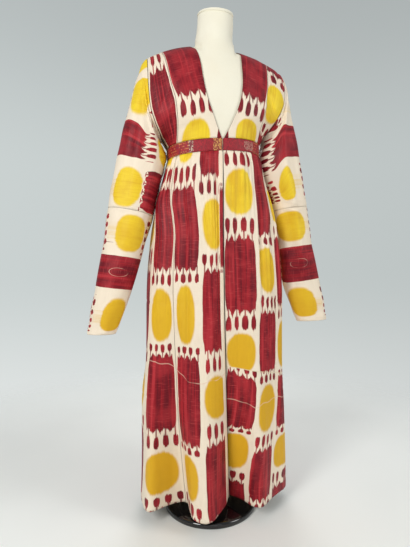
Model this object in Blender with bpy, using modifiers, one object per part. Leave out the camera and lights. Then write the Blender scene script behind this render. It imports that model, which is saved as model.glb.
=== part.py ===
"""An ikat robe worn by a limbless dress form that stands on a round base.

Metres, +Z up. The origin is the middle of the base's underside, and the robe's front faces -Y.
The wearer's right is -X. Every cloth piece is an open sheet placed by a function of two
coordinates, one across and one along the cloth, and Solidify gives it its wall.
"""

import math

import bmesh
import bpy
import numpy as np

COLLECTION = "ikat_robe_on_dress_form"

# Cloth
WALL = 0.0015
BAND_WALL = 0.003
SEAM_GAP = 0.0003

# Levels
HEM_Z = 0.045
BAND_BOTTOM_Z = 1.0545
BAND_TOP_Z = 1.0895
SIDE_Y = -0.035

# Dress form and stand
BASE_RADIUS = 0.14
POLE_RADIUS = 0.0125
TORSO_BOTTOM_Z = 0.80
CLOTH_TO_FORM = 0.0023


def table(columns, *rows):
    """The rows as one array for each named column."""
    return {name: np.array([row[i] for row in rows]) for i, name in enumerate(columns.split())}


def through(knots, values, at, start=None, smooth=True):
    """A cubic curve through the values at the knots. It keeps level where a column turns, unless smooth is False."""
    knots = np.asarray(knots, float)
    values = np.asarray(values, float)
    steps = np.diff(knots).reshape((-1,) + (1,) * (values.ndim - 1))
    slopes = np.diff(values, axis=0) / steps
    tangents = np.concatenate([slopes[:1], 0.5 * (slopes[1:] + slopes[:-1]), slopes[-1:]])
    if smooth:
        turns = slopes[1:] * slopes[:-1] <= 0
        limit = 3 * np.minimum(abs(slopes[1:]), abs(slopes[:-1]))
        inner = np.clip(tangents[1:-1], -limit, limit)
        tangents[1:-1] = np.where(turns, 0.0, inner)
    if start is not None:
        tangents[0] = start
    at = np.clip(np.asarray(at, float), knots[0], knots[-1])
    cell = np.clip(np.searchsorted(knots, at, side="right") - 1, 0, len(knots) - 2)
    step = steps[cell]
    t = (at - knots[cell]).reshape(at.shape + (1,) * (values.ndim - 1)) / step
    return (
        (2 * t**3 - 3 * t**2 + 1) * values[cell]
        + (t**3 - 2 * t**2 + t) * step * tangents[cell]
        + (3 * t**2 - 2 * t**3) * values[cell + 1]
        + (t**3 - t**2) * step * tangents[cell + 1]
    )


def ease(low, high, x):
    """0 below low, 1 above high, and a soft step between."""
    t = np.clip((np.asarray(x, float) - low) / (high - low), 0, 1)
    return t * t * (3 - 2 * t)


def hump(x, middle, width):
    return np.exp(-(((x - middle) / width) ** 2))


# The robe hangs a little higher on the wearer's left: the slope of each level, up the body.
TILT = table(
    "height slope",
    (0.00, 0.000),
    (0.82, 0.000),
    (1.00, 0.080),
    (1.10, 0.080),
    (1.20, 0.030),
    (1.40, 0.006),
)
TILT_REACH = 0.16


def tilt(points):
    """The points with each level turned by its slope."""
    points = np.array(points, float)
    slope = np.interp(points[:, 2], TILT["height"], TILT["slope"])
    points[:, 2] += slope * np.clip(points[:, 0], -TILT_REACH, TILT_REACH)
    return points


# ---------------------------------------------------------------- skirt

# Smooth rings of the skirt before its folds: half widths to the wearer's right and left of
# the middle, and the front and back of the ring.
SKIRT_RINGS = table(
    "height right left front back",
    (0.045, 0.215, 0.241, -0.160, 0.150),
    (0.300, 0.213, 0.233, -0.157, 0.142),
    (0.450, 0.207, 0.225, -0.154, 0.138),
    (0.645, 0.203, 0.226, -0.151, 0.134),
    (0.735, 0.198, 0.219, -0.150, 0.130),
    (0.800, 0.192, 0.212, -0.149, 0.126),
    (0.870, 0.185, 0.199, -0.147, 0.119),
    (0.920, 0.178, 0.181, -0.146, 0.110),
    (0.970, 0.162, 0.162, -0.145, 0.096),
    (1.020, 0.147, 0.150, -0.143, 0.080),
    (1.0545, 0.1385, 0.1405, -0.1405, 0.0700),
)

# Places round the hem, counted in cloth columns from the left front edge round the back to
# the right front edge. Each column hangs straight down, so its place round the smooth rings,
# in full turns from the front, moves from one value at the band to another below the hips.
HEM_FOLDS = table(
    "column band_turn hip_turn x y",
    (0.00, 0.000, 0.000, 0.043, -0.050),
    (0.45, 0.046, 0.034, 0.075, -0.099),
    (0.75, 0.077, 0.057, 0.090, -0.131),
    (1.05, 0.107, 0.079, 0.111, -0.143),
    (1.50, 0.150, 0.106, 0.147, -0.117),
    (2.00, 0.190, 0.135, 0.186, -0.090),
    (2.50, 0.225, 0.165, 0.232, -0.052),
    (3.00, 0.260, 0.200, 0.246, 0.004),
    (3.50, 0.301, 0.245, 0.232, 0.062),
    (4.00, 0.342, 0.292, 0.190, 0.083),
    (4.50, 0.384, 0.340, 0.178, 0.125),
    (5.00, 0.425, 0.388, 0.128, 0.158),
    (5.50, 0.446, 0.432, 0.084, 0.130),
    (6.00, 0.473, 0.470, 0.046, 0.126),
    (6.50, 0.500, 0.507, 0.012, 0.170),
    (7.00, 0.536, 0.548, -0.038, 0.152),
    (7.50, 0.575, 0.595, -0.074, 0.112),
    (8.00, 0.618, 0.650, -0.128, 0.132),
    (8.40, 0.665, 0.702, -0.172, 0.112),
    (8.68, 0.698, 0.744, -0.206, 0.050),
    (9.00, 0.734, 0.793, -0.214, -0.026),
    (9.32, 0.765, 0.824, -0.201, -0.084),
    (9.66, 0.792, 0.847, -0.154, -0.070),
    (9.93, 0.813, 0.865, -0.112, -0.062),
    (10.10, 0.826, 0.875, -0.091, -0.067),
    (10.42, 0.855, 0.895, -0.087, -0.108),
    (10.74, 0.887, 0.918, -0.085, -0.150),
    (11.05, 0.917, 0.943, -0.062, -0.176),
    (11.35, 0.942, 0.962, -0.036, -0.172),
    (11.75, 0.970, 0.981, -0.005, -0.140),
    (12.10, 0.988, 0.991, 0.024, -0.099),
    (12.35, 1.000, 1.000, 0.043, -0.064),
)
BAND_TO_HIP = (0.80, 1.0545)
COLUMNS_ROUND = HEM_FOLDS["column"][-1]
FOLDS_BEGIN_Z = 0.86
FOLD_GROWTH = 1.65

# Softer folds higher up: the column each runs down, its two ends, how far it stands out
# (minus for a trough) and its half width in columns.
SKIRT_CREASES = table(
    "column top bottom stand_out width",
    (0.48, 0.98, 0.36, -0.0060, 0.16),
    (1.30, 1.04, 0.70, -0.0070, 0.11),
    (1.62, 1.05, 0.62, 0.0050, 0.13),
    (1.95, 1.04, 0.74, -0.0065, 0.12),
    (3.20, 1.03, 0.30, -0.0080, 0.22),
    (4.35, 1.04, 0.40, 0.0070, 0.22),
    (5.40, 1.04, 0.36, -0.0090, 0.24),
    (6.60, 1.04, 0.34, 0.0080, 0.24),
    (7.55, 1.04, 0.32, -0.0090, 0.24),
    (8.75, 1.03, 0.36, -0.0070, 0.20),
    (9.45, 1.02, 0.55, 0.0045, 0.16),
    (9.95, 1.02, 0.50, -0.0050, 0.12),
    (10.62, 1.03, 0.42, -0.0080, 0.13),
    (11.30, 0.99, 0.55, -0.0045, 0.15),
    (12.02, 1.02, 0.52, -0.0050, 0.12),
)
CREASE_FADE = 0.10

# Gathers below the band
GATHERS_PER_COLUMN = 2.5
GATHER_TROUGH_COLUMN = 10.1
GATHER_HEIGHT = 0.0026
GATHER_LENGTH = 0.10
GATHER_START = 0.006


def ring_point(turn, height, rings):
    """A point of a smooth ring, with the front at turn 0 and the wearer's left at turn 0.25."""
    right = through(rings["height"], rings["right"], height)
    left = through(rings["height"], rings["left"], height)
    front = through(rings["height"], rings["front"], height)
    back = through(rings["height"], rings["back"], height)
    angle = 2 * np.pi * turn
    side = np.where(np.sin(angle) > 0, left, right)
    reach = np.where(np.cos(angle) > 0, SIDE_Y - front, back - SIDE_Y)
    x = side * np.sin(angle)
    y = SIDE_Y - reach * np.sign(np.cos(angle)) * abs(np.cos(angle)) ** 0.92
    return np.stack([x, y, height + 0 * x], axis=-1)


def gather_wave(column):
    """Uneven gathers: some stand higher than others."""
    phase = 2 * np.pi * GATHERS_PER_COLUMN * (column - GATHER_TROUGH_COLUMN)
    return -np.cos(phase) * (0.75 + 0.25 * np.sin(1.7 * column + 0.6)) + 0.2 * np.sin(0.5 * phase + 1.1)


def skirt_point(column, height):
    """A point of the skirt's outer face."""
    column = np.asarray(column, float)
    height = np.asarray(height, float) + 0 * column
    band_turn = through(HEM_FOLDS["column"], HEM_FOLDS["band_turn"], column)
    hip_turn = through(HEM_FOLDS["column"], HEM_FOLDS["hip_turn"], column)
    turn = hip_turn + (band_turn - hip_turn) * ease(*BAND_TO_HIP, height)
    point = ring_point(turn, height, SKIRT_RINGS)
    smooth_hem = ring_point(hip_turn, 0 * height + HEM_Z, SKIRT_RINGS)
    fold_xy = np.stack([HEM_FOLDS["x"], HEM_FOLDS["y"]], axis=1)
    folded_hem = through(HEM_FOLDS["column"], fold_xy, column, smooth=False)
    growth = np.clip((FOLDS_BEGIN_Z - height) / (FOLDS_BEGIN_Z - HEM_Z), 0, 1) ** FOLD_GROWTH
    point[..., :2] += growth[..., None] * (folded_hem - smooth_hem[..., :2])
    below = BAND_BOTTOM_Z - height
    stand = GATHER_HEIGHT * gather_wave(column) * ease(0, GATHER_START, below) * (1 - ease(0.01, GATHER_LENGTH, below))
    for i, middle in enumerate(SKIRT_CREASES["column"]):
        top, bottom = SKIRT_CREASES["top"][i], SKIRT_CREASES["bottom"][i]
        along = ease(bottom, bottom + CREASE_FADE, height) * (1 - ease(top - CREASE_FADE, top, height))
        stand = stand + SKIRT_CREASES["stand_out"][i] * along * hump(column, middle, SKIRT_CREASES["width"][i])
    for seam in SKIRT_PANELS["last"][:-1].astype(float):
        stand = stand - SEAM_DIP * hump(column, seam, SEAM_DIP_WIDTH)
    outward = np.stack([point[..., 0], point[..., 1] - SIDE_Y], axis=-1)
    outward /= np.linalg.norm(outward, axis=-1, keepdims=True)
    point[..., :2] += stand[..., None] * outward
    return point


SKIRT_HEIGHTS = (1.0543, 1.047, 1.030, 1.005, 0.965, 0.905, 0.820, 0.700, 0.560, 0.410, 0.270, 0.150, 0.045)
SEGMENTS_PER_COLUMN = 10

# The seams lie in troughs of the gathers.
SKIRT_PANELS = table(
    "piece first last",
    ("skirt_front_left", 0.0, 2.9),
    ("skirt_side_left", 2.9, 5.3),
    ("skirt_back", 5.3, 7.7),
    ("skirt_side_right", 7.7, 10.1),
    ("skirt_front_right", 10.1, COLUMNS_ROUND),
)
FRONT_EDGE_GAP = 0.003
# Each seam pulls the cloth in a little.
SEAM_DIP = 0.0016
SEAM_DIP_WIDTH = 0.10


def skirt_panel(first, last):
    """The place function of one skirt panel, held back from its seams by half the gap."""

    def place(across, along):
        height = np.interp(along, np.linspace(0, 1, len(SKIRT_HEIGHTS)), SKIRT_HEIGHTS)
        edges = []
        for column, inward in ((first, 1), (last, -1)):
            step = skirt_point(0 * height + column + inward * 0.01, height) - skirt_point(0 * height + column, height)
            gap = FRONT_EDGE_GAP if column in (0, COLUMNS_ROUND) else SEAM_GAP
            edges.append(column + inward * 0.01 * (gap / 2) / np.linalg.norm(step, axis=-1))
        column = edges[0] + (edges[1] - edges[0]) * across
        return tilt(skirt_point(column, height))

    return place


# ---------------------------------------------------------------- bodice

# Rows of the bodice from the band (0) to the ridge of the shoulder (1). The front and back
# middles, and the outer edge, which is the side seam up to the armpit and then the armhole.
# facing is how far round the outer edge has turned from the front, in degrees.
BODICE_ROWS = table(
    "row front_y front_z back_y back_z edge_right edge_left edge_y edge_z facing",
    (0.00, -0.1410, 1.0895, 0.0690, 1.0895, 0.1400, 0.1415, -0.0352, 1.0895, 90),
    (0.12, -0.1450, 1.1250, 0.0750, 1.1250, 0.1545, 0.1545, -0.0352, 1.1140, 90),
    (0.18, -0.1470, 1.1440, 0.0780, 1.1440, 0.1640, 0.1580, -0.0600, 1.1230, 80),
    (0.27, -0.1485, 1.1720, 0.0815, 1.1720, 0.1790, 0.1690, -0.0830, 1.1420, 68),
    (0.40, -0.1470, 1.2150, 0.0840, 1.2150, 0.1930, 0.1860, -0.0950, 1.1720, 60),
    (0.55, -0.1400, 1.2650, 0.0810, 1.2650, 0.1990, 0.2040, -0.0940, 1.2120, 54),
    (0.70, -0.1260, 1.3150, 0.0680, 1.3150, 0.2010, 0.2140, -0.0840, 1.2580, 50),
    (0.85, -0.0970, 1.3570, 0.0380, 1.3590, 0.2005, 0.2180, -0.0660, 1.3040, 50),
    (0.95, -0.0600, 1.3820, -0.0020, 1.3850, 0.1995, 0.2150, -0.0470, 1.3330, 50),
    (1.00, -0.0350, 1.3980, -0.0350, 1.3980, 0.1990, 0.2120, -0.0350, 1.3410, 50),
)
ARMPIT_ROW = 0.12
SHOULDER_DROP = 2.2
BUST = {"x": 0.078, "z": 1.165, "width": 0.050, "height": 0.050, "stand_out": 0.009}

# Half widths of the open neck and of the seam between the body and side panels, by row.
NECK_EDGE = table(
    "row right left",
    (0.00, 0.0030, 0.0040),
    (0.13, 0.0195, 0.0240),
    (0.33, 0.0440, 0.0480),
    (0.50, 0.0545, 0.0590),
    (0.70, 0.0610, 0.0620),
    (1.00, 0.0710, 0.0745),
)
BACK_NECK_ROW = 0.87
PANEL_SEAM = table(
    "row right left",
    (0.00, 0.1200, 0.1200),
    (0.15, 0.1215, 0.1240),
    (0.30, 0.1270, 0.1310),
    (0.45, 0.1350, 0.1380),
    (0.60, 0.1450, 0.1440),
    (0.80, 0.1530, 0.1520),
    (1.00, 0.1570, 0.1700),
)

# Folds that drag across the side panels towards the armpit: their ends as (half width, height).
DRAG_FOLDS = table(
    "x1 z1 x2 z2 stand_out width",
    (0.128, 1.205, 0.158, 1.140, 0.0045, 0.007),
    (0.142, 1.235, 0.172, 1.165, -0.0040, 0.008),
    (0.126, 1.165, 0.150, 1.118, -0.0040, 0.006),
)


def near_segment(x, z, i):
    """1 on drag fold i, falling to 0 away from it and at its ends."""
    fold = {name: values[i] for name, values in DRAG_FOLDS.items()}
    run = np.array([fold["x2"] - fold["x1"], fold["z2"] - fold["z1"]])
    length = np.linalg.norm(run)
    along = ((x - fold["x1"]) * run[0] + (z - fold["z1"]) * run[1]) / length**2
    off = ((x - fold["x1"]) * run[1] - (z - fold["z1"]) * run[0]) / length
    return hump(off, 0, fold["width"]) * ease(-0.2, 0.3, along) * (1 - ease(0.7, 1.2, along))


def bodice_row(name, row):
    return through(BODICE_ROWS["row"], BODICE_ROWS[name], row)


def bodice_edge(row, side, back):
    """The outer edge of the bodice: side is -1 on the wearer's right and 1 on the left."""
    x = side * bodice_row("edge_left" if side > 0 else "edge_right", row)
    y = bodice_row("edge_y", row)
    if back:
        y = 2 * SIDE_Y - y
    return np.stack([x, y, bodice_row("edge_z", row)], axis=-1)


def bodice_point(half_width, row, side, back):
    """A point of the bodice's outer face at a distance from the middle, on one row."""
    edge = bodice_edge(row, side, back)
    reach = abs(edge[..., 0])
    facing = np.radians(bodice_row("facing", row))
    angle = np.arcsin(np.clip(half_width / reach, 0, 1) * np.sin(facing))
    middle_y = bodice_row("back_y" if back else "front_y", row)
    middle_z = bodice_row("back_z" if back else "front_z", row)
    bulge = (np.cos(angle) - np.cos(facing)) / (1 - np.cos(facing))
    y = edge[..., 1] + (middle_y - edge[..., 1]) * np.clip(bulge, 0, 1) ** 0.92
    z = middle_z + (edge[..., 2] - middle_z) * (half_width / reach) ** SHOULDER_DROP
    if not back:
        y = y - BUST["stand_out"] * hump(half_width, BUST["x"], BUST["width"]) * hump(z, BUST["z"], BUST["height"])
    for i in range(len(DRAG_FOLDS["x1"])):
        y = y + (1 if back else -1) * DRAG_FOLDS["stand_out"][i] * near_segment(half_width, z, i)
    return np.stack([side * half_width, y, z], axis=-1)


def neck_half_width(row, side, back):
    """Half the open neck on one row: the V in front, and a shallow curve behind the neck."""
    name = "left" if side > 0 else "right"
    if not back:
        return through(NECK_EDGE["row"], NECK_EDGE[name], row)
    curve = np.sqrt(np.clip((row - BACK_NECK_ROW) / (1 - BACK_NECK_ROW), 0, 1))
    return SEAM_GAP / 2 + (NECK_EDGE[name][-1] - SEAM_GAP / 2) * curve


BODICE_VS = (0, 0.07, 0.12, 0.2, 0.3, 0.42, 0.56, 0.7, 0.8, 0.87, 0.9, 0.95, 1)


def over_the_shoulder(along):
    """(row, back) of a place along a piece that runs from the front band over to the back band."""
    fold = 2 * along - 1
    spread = np.interp(1 - abs(fold), np.linspace(0, 1, len(BODICE_VS)), BODICE_VS)
    return spread, fold > 0


def bodice_piece(side, inner, outer):
    """The place function of a bodice piece between two edges, each a function of row and back."""

    def place(across, along):
        row, is_back = over_the_shoulder(along)
        points = np.empty(across.shape + (3,))
        for back in (False, True):
            chosen = is_back == back
            r = row[chosen]
            low = inner(r, back) + SEAM_GAP / 2
            high = outer(r, back) - SEAM_GAP / 2
            points[chosen] = bodice_point(low + (high - low) * across[chosen], r, side, back)
        return tilt(points)

    return place


def seam_half_width(row, side):
    return through(PANEL_SEAM["row"], PANEL_SEAM["left" if side > 0 else "right"], row)


# ---------------------------------------------------------------- sleeves

# Rings of each sleeve below the armhole: its outer and inner points seen from the front, half
# its depth from front to back, and how far its corners next to the body stand out.
SLEEVE_RIGHT = table(
    "outer_x outer_z inner_x inner_z depth front_corner back_corner",
    (0.2190, 1.310, 0.1600, 1.098, 0.0640, 0.000, 0.000),
    (0.2385, 1.250, 0.1570, 1.076, 0.0660, 0.002, 0.003),
    (0.2595, 1.160, 0.1510, 1.050, 0.0650, 0.005, 0.006),
    (0.2780, 1.075, 0.1580, 1.010, 0.0620, 0.007, 0.007),
    (0.2980, 0.970, 0.1730, 0.952, 0.0570, 0.007, 0.006),
    (0.3125, 0.880, 0.1925, 0.858, 0.0515, 0.005, 0.004),
    (0.3270, 0.778, 0.2140, 0.762, 0.0460, 0.003, 0.002),
    (0.3445, 0.675, 0.2430, 0.662, 0.0400, 0.002, 0.001),
    (0.3590, 0.590, 0.2720, 0.582, 0.0340, 0.000, 0.000),
    (0.3670, 0.541, 0.2885, 0.540, 0.0290, 0.000, 0.000),
)
SLEEVE_LEFT = table(
    "outer_x outer_z inner_x inner_z depth front_corner back_corner",
    (0.2300, 1.312, 0.1550, 1.100, 0.0640, 0.000, 0.004),
    (0.2425, 1.250, 0.1500, 1.076, 0.0670, 0.002, 0.016),
    (0.2600, 1.165, 0.1480, 1.046, 0.0660, 0.006, 0.026),
    (0.2795, 1.070, 0.1570, 1.005, 0.0630, 0.008, 0.024),
    (0.2995, 0.962, 0.1880, 0.942, 0.0580, 0.008, 0.012),
    (0.3150, 0.877, 0.2085, 0.862, 0.0520, 0.005, 0.005),
    (0.3295, 0.790, 0.2235, 0.775, 0.0465, 0.003, 0.002),
    (0.3530, 0.690, 0.2350, 0.674, 0.0410, 0.002, 0.001),
    (0.3710, 0.610, 0.2620, 0.602, 0.0340, 0.000, 0.000),
    (0.3815, 0.564, 0.2800, 0.560, 0.0290, 0.000, 0.000),
)
# How far the first rings keep the armhole's own shape.
ARMHOLE_SHAPE = (0.90, 0.55, 0.20)
CORNER_TURN = 0.17
CORNER_WIDTH = 0.07
SLEEVE_SEAM_RING = {-1: 5.80, 1: 5.45}
RINGS_UPPER = 9
RINGS_LOWER = 7
ROUND_SLEEVE = 24


def armhole(turn, side):
    """Points round the armhole: turn 0 at the armpit, 0.25 in front, 0.5 on the shoulder."""
    rows = np.linspace(ARMPIT_ROW, 1, 120)
    front = bodice_edge(rows, side, False)
    back = bodice_edge(rows[::-1], side, True)
    halves = []
    for half, first in ((front, 0.0), (back, 0.5)):
        steps = np.linalg.norm(np.diff(half, axis=0), axis=1)
        place = first + 0.5 * np.concatenate([[0], np.cumsum(steps)]) / steps.sum()
        halves.append((place, half))
    places = np.concatenate([halves[0][0], halves[1][0][1:]])
    points = tilt(np.concatenate([halves[0][1], halves[1][1][1:]]))
    return np.stack([np.interp(turn, places, points[:, i]) for i in range(3)], axis=-1)


def sleeve_rings(turn, side):
    """The control rings of a sleeve: the armhole first, then the rows of its table."""
    rows = SLEEVE_LEFT if side > 0 else SLEEVE_RIGHT
    angle = 2 * np.pi * turn
    inward = np.cos(angle)
    forward = np.sin(angle)
    front_corner = hump(turn, CORNER_TURN, CORNER_WIDTH)
    back_corner = hump(turn, 1 - CORNER_TURN, CORNER_WIDTH)
    edge = armhole(turn, side)
    armpit, shoulder = armhole(np.array([0.0, 0.5]), side)
    rings = [edge]
    for i in range(len(rows["depth"])):
        outer = np.array([side * rows["outer_x"][i], SIDE_Y, rows["outer_z"][i]])
        inner = np.array([side * rows["inner_x"][i], SIDE_Y, rows["inner_z"][i]])
        corner = rows["front_corner"][i] * front_corner + rows["back_corner"][i] * back_corner
        stretch = 1 + corner / rows["depth"][i]
        ring = 0.5 * (outer + inner) + 0.5 * (inner - outer) * inward[:, None] * stretch[:, None]
        ring[:, 1] -= rows["depth"][i] * forward * stretch
        if i < len(ARMHOLE_SHAPE):
            ring += ARMHOLE_SHAPE[i] * (moved_to(edge, armpit, shoulder, inner, outer) - ring)
        rings.append(ring)
    return np.array(rings)


def moved_to(points, low, high, new_low, new_high):
    """The points turned and scaled, seen from the front, so that low and high land on new_low and new_high."""
    old = complex(high[0] - low[0], high[2] - low[2])
    new = complex(new_high[0] - new_low[0], new_high[2] - new_low[2])
    flat = (points[:, 0] - low[0] + 1j * (points[:, 2] - low[2])) * (new / old)
    return np.stack([new_low[0] + flat.real, points[:, 1], new_low[2] + flat.imag], axis=-1)


def sleeve_point(turn, ring, side):
    """A point of the sleeve's outer face: ring 0 is the armhole and the last is the cuff."""
    rings = sleeve_rings(turn, side)
    ahead = rings[1] - rings[0]
    edge = armhole(turn, side)
    level = np.stack([side + 0 * turn, 0 * turn, -0.45 + 0 * turn], axis=-1)
    level *= np.linalg.norm(ahead, axis=-1, keepdims=True) / np.linalg.norm(level, axis=-1, keepdims=True)
    on_top = ease(0.12, 0.45, 0.5 - abs(turn - 0.5))[:, None]
    start = ahead + on_top * (0.6 * level + 0.4 * ahead - ahead)
    knots = np.arange(len(rings))
    points = np.empty(turn.shape + (3,))
    for i in range(len(turn)):
        points[i] = through(knots, rings[:, i], ring[i], start=start[i], smooth=False)
    away = ahead / np.linalg.norm(ahead, axis=-1, keepdims=True)
    hold_back = (1 - np.clip(ring, 0, 1))[:, None]
    return points + away * ARMHOLE_GAP * hold_back


ARMHOLE_GAP = 0.0014


def sleeve_piece(side, first, last):
    """The place function of a length of sleeve between two rings."""

    def place(across, along):
        ring = first + (last - first) * along
        return sleeve_point(np.round(across, 6) % 1.0, ring, side)

    return place


# ---------------------------------------------------------------- dress form

# Rings of the form, from the neck's flat top to the hips. A ring dips from side to front and back.
FORM_RINGS = table(
    "half_width front back front_z side_z back_z",
    (0.0000, -0.0450, -0.0450, 1.4922, 1.4922, 1.4922),
    (0.0320, -0.0770, -0.0130, 1.4922, 1.4922, 1.4922),
    (0.0490, -0.0940, 0.0040, 1.4922, 1.4922, 1.4922),
    (0.0525, -0.0975, 0.0075, 1.4900, 1.4900, 1.4900),
    (0.0530, -0.0980, 0.0080, 1.4830, 1.4830, 1.4830),
    (0.0538, -0.0988, 0.0088, 1.4500, 1.4500, 1.4500),
    (0.0550, -0.1000, 0.0100, 1.4150, 1.4220, 1.4200),
    (0.0580, -0.1020, 0.0130, 1.3880, 1.4030, 1.3920),
    (0.0680, -0.1070, 0.0190, 1.3660, 1.3910, 1.3700),
    (0.0820, -0.1130, 0.0260, 1.3460, 1.3840, 1.3620),
    (0.1050, -0.1210, 0.0380, 1.3220, 1.3740, 1.3440),
    (0.1400, -0.1300, 0.0540, 1.2950, 1.3600, 1.3250),
    (0.1660, -0.1370, 0.0660, 1.2620, 1.3420, 1.2950),
    (0.1780, -0.1420, 0.0740, 1.2300, 1.3150, 1.2600),
    (0.1780, -0.1445, 0.0790, 1.1950, 1.2600, 1.2200),
    (0.1620, -0.1440, 0.0780, 1.1600, 1.1900, 1.1700),
    (0.1460, -0.1415, 0.0720, 1.1250, 1.1300, 1.1260),
    (0.1370, -0.1375, 0.0655, 1.0895, 1.0895, 1.0895),
    (0.1340, -0.1355, 0.0645, 1.0500, 1.0500, 1.0500),
    (0.1380, -0.1330, 0.0700, 1.0000, 1.0000, 1.0000),
    (0.1500, -0.1330, 0.0840, 0.9200, 0.9200, 0.9200),
    (0.1580, -0.1330, 0.0950, 0.8500, 0.8500, 0.8500),
    (0.1540, -0.1290, 0.0920, 0.8080, 0.8080, 0.8080),
    (0.1380, -0.1130, 0.0780, 0.8000, 0.8000, 0.8000),
    (0.0000, 0.0000, 0.0000, 0.8000, 0.8000, 0.8000),
)
FORM_SEGMENTS = 44
# The neck leans a little to the wearer's left, and its cap slopes down towards the front.
NECK_LEAN = 0.0045
CAP_SLOPE = {"x": 0.024, "y": 0.23}
NECK_Z = (1.40, 1.47)


def form_point(turn, row):
    """A point of the form's skin. row counts from the neck's top to the middle of its underside."""
    knots = np.linspace(0, 1, len(FORM_RINGS["front"]))
    ring = {name: through(knots, values, row) for name, values in FORM_RINGS.items()}
    angle = 2 * np.pi * turn
    side_y = np.clip(SIDE_Y, ring["front"], ring["back"])
    side_y = 0.5 * (ring["front"] + ring["back"]) + (side_y - 0.5 * (ring["front"] + ring["back"])) * ease(0.2, 0.4, row)
    to_front = np.cos(angle) > 0
    reach = np.where(to_front, side_y - ring["front"], ring["back"] - side_y)
    x = ring["half_width"] * np.sin(angle)
    y = side_y - reach * np.sign(np.cos(angle)) * abs(np.cos(angle)) ** 0.92
    middle_z = np.where(to_front, ring["front_z"], ring["back_z"])
    z = ring["side_z"] + (middle_z - ring["side_z"]) * abs(np.cos(angle)) ** 1.6
    bust = BUST["stand_out"] * hump(abs(x), BUST["x"], BUST["width"]) * hump(z, BUST["z"], BUST["height"])
    y = y - bust * to_front * abs(np.cos(angle)) ** 0.5
    up = ease(*NECK_Z, z)
    x = x + NECK_LEAN * up
    z = z + (CAP_SLOPE["x"] * x + CAP_SLOPE["y"] * (y + 0.045)) * up
    return tilt(np.stack([x, y, z], axis=-1))


def bodice_samples():
    """Points all over the bodice's outer face, and the way each faces."""
    rows, across = np.meshgrid(np.linspace(0.01, 0.99, 50), np.linspace(0, 1, 14))
    rows, across = rows.ravel(), across.ravel()
    points, normals = [], []
    for side in (-1, 1):
        for back in (False, True):
            low = neck_half_width(rows, side, back)
            width = low + (bodice_row("edge_left" if side > 0 else "edge_right", rows) - low) * across
            here = tilt(bodice_point(width, rows, side, back))
            up = tilt(bodice_point(width, rows + 0.005, side, back)) - here
            aside = tilt(bodice_point(width + 0.001, rows, side, back)) - here
            normal = np.cross(aside, up)
            normal /= np.linalg.norm(normal, axis=-1, keepdims=True)
            outward = here - np.array([0, SIDE_Y, 1.2])
            normal *= np.sign((normal * outward).sum(axis=-1, keepdims=True))
            points.append(here)
            normals.append(normal)
    return np.concatenate(points), np.concatenate(normals)


def under_cloth(points):
    """The points, with those that would reach the bodice moved back under it."""
    samples, normals = bodice_samples()
    points = points.copy()
    for _ in range(2):
        apart = np.linalg.norm(points[:, None] - samples[None], axis=-1)
        nearest = apart.argmin(axis=1)
        offset = points - samples[nearest]
        normal = normals[nearest]
        above = (offset * normal).sum(axis=-1)
        aside = np.linalg.norm(offset - above[:, None] * normal, axis=-1)
        covered = (1 - ease(0.012, 0.022, aside)) * (1 - ease(0.008, 0.016, above))
        covered *= points[:, 2] > BAND_TOP_Z
        points -= (covered * np.clip(above + CLOTH_TO_FORM, 0, None))[:, None] * normal
    return points


# The stand's turned profiles as (radius, height) pairs, from the top down the outer side.
BASE_PROFILE = (
    (0.0, 0.0330),
    (0.0220, 0.0330),
    (0.0260, 0.0300),
    (0.0600, 0.0265),
    (0.1000, 0.0220),
    (0.1300, 0.0170),
    (0.1370, 0.0145),
    (BASE_RADIUS, 0.0110),
    (BASE_RADIUS, 0.0030),
    (0.1380, 0.0),
    (0.0, 0.0),
)
BASE_SEGMENTS = 48


# ---------------------------------------------------------------- finishes

FINISHES = table(
    "finish red green blue roughness",
    ("crimson_ikat", 0.36, 0.030, 0.050, 0.55),
    ("yellow_ikat", 0.85, 0.520, 0.030, 0.55),
    ("cream_ikat", 0.80, 0.720, 0.590, 0.60),
    ("woven_band", 0.30, 0.020, 0.030, 0.60),
    ("form_cloth", 0.88, 0.830, 0.700, 0.70),
    ("black_gloss", 0.004, 0.004, 0.004, 0.12),
)


def finish(name):
    """The material of that name, made on first use."""
    material = bpy.data.materials.get(name)
    if material:
        return material
    i = list(FINISHES["finish"]).index(name)
    material = bpy.data.materials.new(name)
    material.use_nodes = True
    shader = material.node_tree.nodes["Principled BSDF"]
    colour = [float(FINISHES[channel][i]) for channel in ("red", "green", "blue")]
    shader.inputs["Base Color"].default_value = (*colour, 1)
    shader.inputs["Roughness"].default_value = float(FINISHES["roughness"][i])
    material.diffuse_color = (*colour, 1)
    return material


# ---------------------------------------------------------------- making

def add_object(name, mesh, material):
    made = bpy.data.objects.new(name, mesh)
    mesh.materials.append(finish(material))
    bpy.data.collections[COLLECTION].objects.link(made)
    mesh.shade_smooth()
    return made


def sheet(name, place, across, along, material, middle, wall=WALL, closed=False):
    """A cloth piece: a grid placed by its function, faced away from middle, with a wall inside it."""
    grid = bmesh.new()
    bmesh.ops.create_grid(grid, x_segments=across, y_segments=along, size=0.5)
    flat = np.array([vert.co for vert in grid.verts])
    points = place(flat[:, 0] + 0.5, flat[:, 1] + 0.5)
    for vert, point in zip(grid.verts, points):
        vert.co = point
    if closed:
        bmesh.ops.remove_doubles(grid, verts=grid.verts, dist=1e-6)
    grid.normal_update()
    outward = sum(face.normal.dot(face.calc_center_median() - middle(face)) * face.calc_area() for face in grid.faces)
    if outward < 0:
        bmesh.ops.reverse_faces(grid, faces=grid.faces)
    mesh = bpy.data.meshes.new(name)
    grid.to_mesh(mesh)
    grid.free()
    made = add_object(name, mesh, material)
    thicken = made.modifiers.new("wall", "SOLIDIFY")
    thicken.thickness = wall
    thicken.offset = -1
    thicken.use_even_offset = True
    return made


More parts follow.
